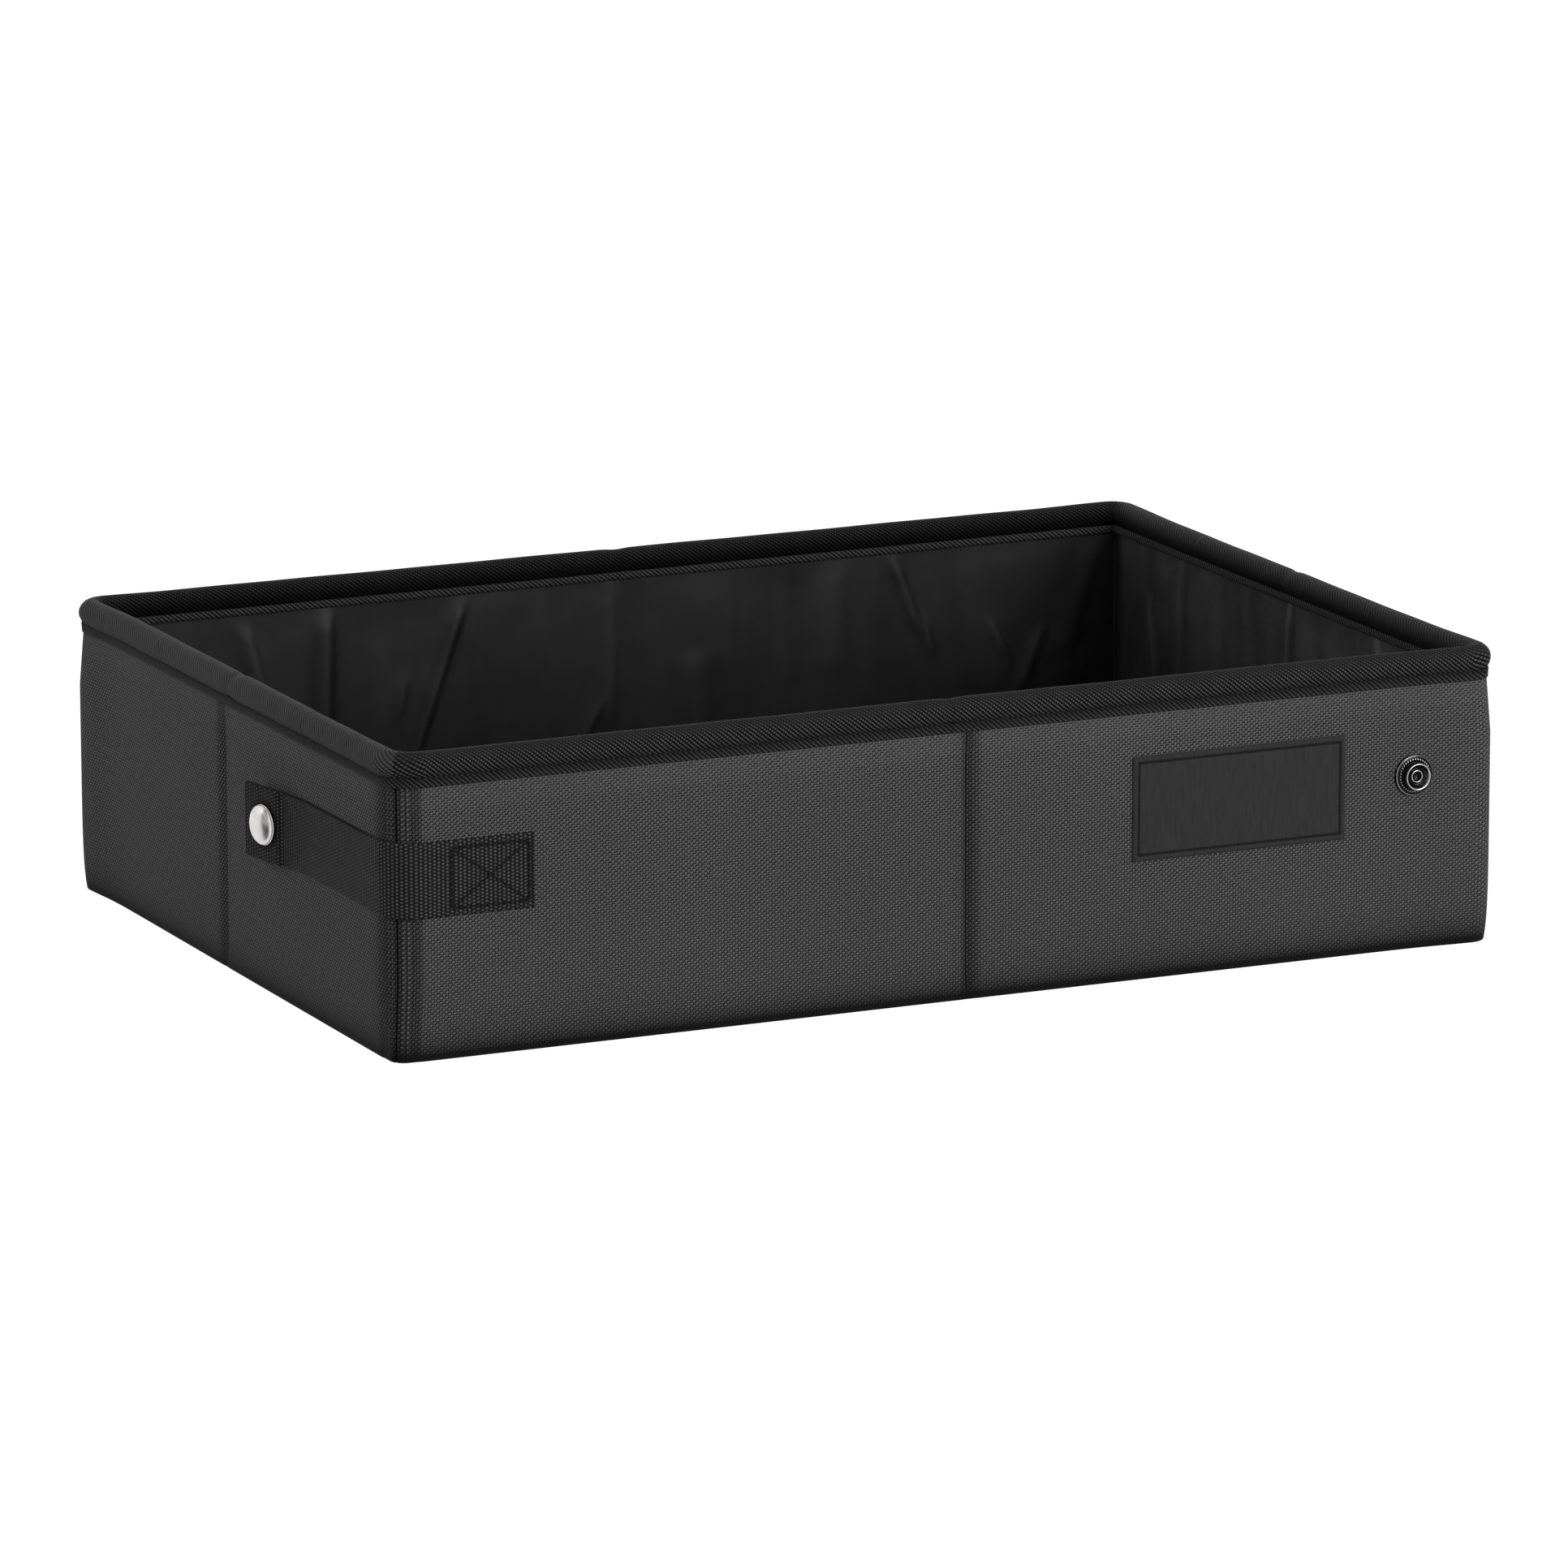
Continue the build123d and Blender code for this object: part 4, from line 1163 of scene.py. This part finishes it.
section = np.array([
    (-half_width + 0.3 * mm, -half_thick * 0.8), (-half_width, -half_thick * 0.3),
    (-half_width, half_thick * 0.3), (-half_width + 0.3 * mm, half_thick * 0.8),
    *[(place * mm, half_thick) for place in np.linspace(-11.6, 11.6, 14)],
    (half_width - 0.3 * mm, half_thick * 0.8), (half_width, half_thick * 0.3),
    (half_width, -half_thick * 0.3), (half_width - 0.3 * mm, -half_thick * 0.8),
    *[(place * mm, -half_thick) for place in np.linspace(11.6, -11.6, 14)],
])
strap_points = np.stack([
    path_x + section[:, 1:] * out_x,
    path_y + section[:, 1:] * out_y,
    strap_level + section[:, :1] + 0 * path_x,
], -1)
strap_across = np.concatenate([section[:, 0], section[:1, 0]])
webbing_finish, tree, shader = new_finish("black_webbing", Roughness=0.7, Specular_IOR_Level=0.08)
along, across = thread_places(tree, wander=0.08 * mm)
true_along, true_across = thread_places(tree)
threads = wave_sum(
    tree, along, across, [(0.655, 0.0, 0.8), (0.3275, 0.865, 0.65), (0.3275, -0.865, 0.65), (0.0, 1.73, 0.3)]
)
flat_start, flat_end = 68 * mm, 134 * mm
after_start = fit(tree, true_along, flat_start - 8 * mm, flat_start, 0.0, 1.0)
before_end = fit(tree, true_along, flat_end, flat_end + 1 * mm, 1.0, 0.0)
flat = maths(tree, "MULTIPLY", after_start, before_end)
contrast = maths(tree, "MULTIPLY_ADD", flat, -0.75, 1.3)
threads = maths(tree, "MULTIPLY_ADD", maths(tree, "SUBTRACT", threads, 0.5), contrast, 0.5)
doubled_part = fit(tree, true_along, 150 * mm, 152 * mm, 0.0, 1.0)
threads = maths(tree, "MULTIPLY_ADD", doubled_part, -0.05, threads)
shade = shades(tree, threads, [(0.22, 0.001), (0.36, 0.004), (0.5, 0.021), (0.65, 0.045), (0.9, 0.075)])
stud_run = float(strap_run[len(strap_run) - len(returned) + np.abs(returned - side_stud_y).argmin()])
# Painted shadow: the strap is darkened in a ring round the snap's cap
from_cap = node(
    tree, "ShaderNodeVectorMath", {0: thread_map(tree), 1: (stud_run, 0, 0)}, operation="DISTANCE"
).outputs["Value"]
painted_shadow_and_stitches = fit(tree, from_cap, 6.5 * mm, 10 * mm, 0.12, 1.0, interpolation_type="SMOOTHSTEP")
past_middle = away_from(tree, true_along, box_run)
off_middle = maths(tree, "ABSOLUTE", true_across)
past_end = maths(tree, "SUBTRACT", past_middle, box_half_length)
past_box = maths(tree, "MAXIMUM", past_end, maths(tree, "SUBTRACT", off_middle, box_half_height))
off_cross = maths(tree, "MULTIPLY_ADD", past_middle, -box_half_height / box_half_length, off_middle)
frame_lines = plateau(tree, past_box, [0.0], 0.55 * mm, 0.25 * mm)
cross_lines = plateau(tree, off_cross, [0.0], 0.6 * mm, 0.25 * mm)
cross_lines = maths(tree, "MULTIPLY", cross_lines, maths(tree, "LESS_THAN", past_box, 0.0))
sewn_lines = maths(tree, "MAXIMUM", frame_lines, cross_lines)
# Painted shadow: a dark line along the strap's top edge on its flat run, where it stands off the wall
top_edge = maths(tree, "MULTIPLY", near(tree, true_across, [strap_width / 2], 0.9 * mm), flat)
painted_shadow_and_stitches = marked(tree, painted_shadow_and_stitches, top_edge, -0.9)
painted_shadow_and_stitches = marked(tree, painted_shadow_and_stitches, sewn_lines, -0.48)
shade = toned(tree, toned(tree, shade, painted_shadow_and_stitches), mottle(tree, 3 * mm, 0.82, 1.18))
dress(tree, shader, shade, threads, thread_relief, 0.6)
strap = woven_surface("strap_webbing", strap_points, strap_run, strap_across, webbing_finish, ring=True)
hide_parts("strap_anchor", "strap_flap")
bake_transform(strap)

# The crossed box of stitches, an even distance in from the strap's end and edges
box_left, box_right = strap_front_end - box_run - box_half_length, strap_front_end - box_run + box_half_length
box_low, box_high = strap_level - box_half_height, strap_level + box_half_height
crossed = [
    (box_left, box_low), (box_right, box_low), (box_right, box_high), (box_left, box_high), (box_left, box_low),
    (box_right, box_high)
]
starts, ends = stitch_line(crossed, 1.9 * mm, 0.15)
more_starts, more_ends = stitch_line([(box_left, box_high), (box_right, box_low)], 1.9 * mm, 0.15)
starts, ends = np.concatenate([starts, more_starts]), np.concatenate([ends, more_ends])
strap_face_y = -box_width / 2 - 1.15 * mm


def on_strap(flat):
    """Points on the face of the strap's sewn end."""
    return np.stack([flat[:, 0], strap_face_y + 0 * flat[:, 0], flat[:, 1]], -1)


box_thread = stitch_row(
    "strap_box_stitching", on_strap(starts), on_strap(ends), np.tile([0.0, -1.0, 0.0], (len(starts), 1)),
    "front_left_wall", thread_finish, 1.0 * mm
)

bright_nickel, tree, shader = new_finish("satin_nickel", Metallic=1.0, Roughness=0.3)
where = own_place(tree)
cloud = noise(tree, where, 300.0, 5.0)
metal_colour = shades(tree, cloud, [(0.3, (0.6, 0.585, 0.565)), (0.7, (0.72, 0.705, 0.69))])
tree.links.new(cloudy(tree, cloud, 0.24, 0.36), shader.inputs["Roughness"])
specks = noise(tree, where, 2600.0, 1.0)
dress(tree, shader, metal_colour, specks, 0.01 * mm, 0.25)

# The cap and its socket lean with the flap
snap_out = (-np.cos(np.arctan(end_slope)), -np.sin(np.arctan(end_slope)), 0)
snap_middle = (-box_length / 2 - stud_lift, side_stud_y, stud_level)
cap_radius, cap_seat = 6.75 * mm, 1.7 * mm
dome_share = np.linspace(0, 1, 26)
lip = [(0.02, -0.1), (6.0, -0.1), (6.7, 0.1), (6.9, 0.4), (6.8, 0.6), (6.6, 0.65)]
cap_outline = [(r * mm, cap_seat + h * mm, 0, 1) for r, h in lip]
cap_outline += [
    (
        cap_radius * np.cos(s * np.pi / 2) * 0.99 + 0.02 * mm,
        cap_seat + 0.75 * mm + 2.3 * mm * np.sin(s * np.pi / 2), 0, 1
    ) for s in dome_share
]
cap = turned_piece("snap_cap_dome", cap_outline, snap_middle, snap_out, bright_nickel, "strap_flap")
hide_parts("snap_cap")

# Distance from the axis and height off the flap's middle line, from the open mouth round the outside to the bore
socket_outline = [
    (5.0, -0.5), (5.0, -3.2), (5.2, -3.5), (5.7, -3.6), (6.2, -3.3), (6.35, -2.6), (6.3, -1.5), (6.6, -0.9),
    (6.6, -0.4), (0.02, -0.4), (0.02, -0.5),
]
socket_outline = [(r * mm, h * mm, 0, 0.5) for r, h in socket_outline]
socket = turned_piece("snap_socket_ring", socket_outline, snap_middle, snap_out, dark_nickel, "strap_flap")
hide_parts("snap_socket")
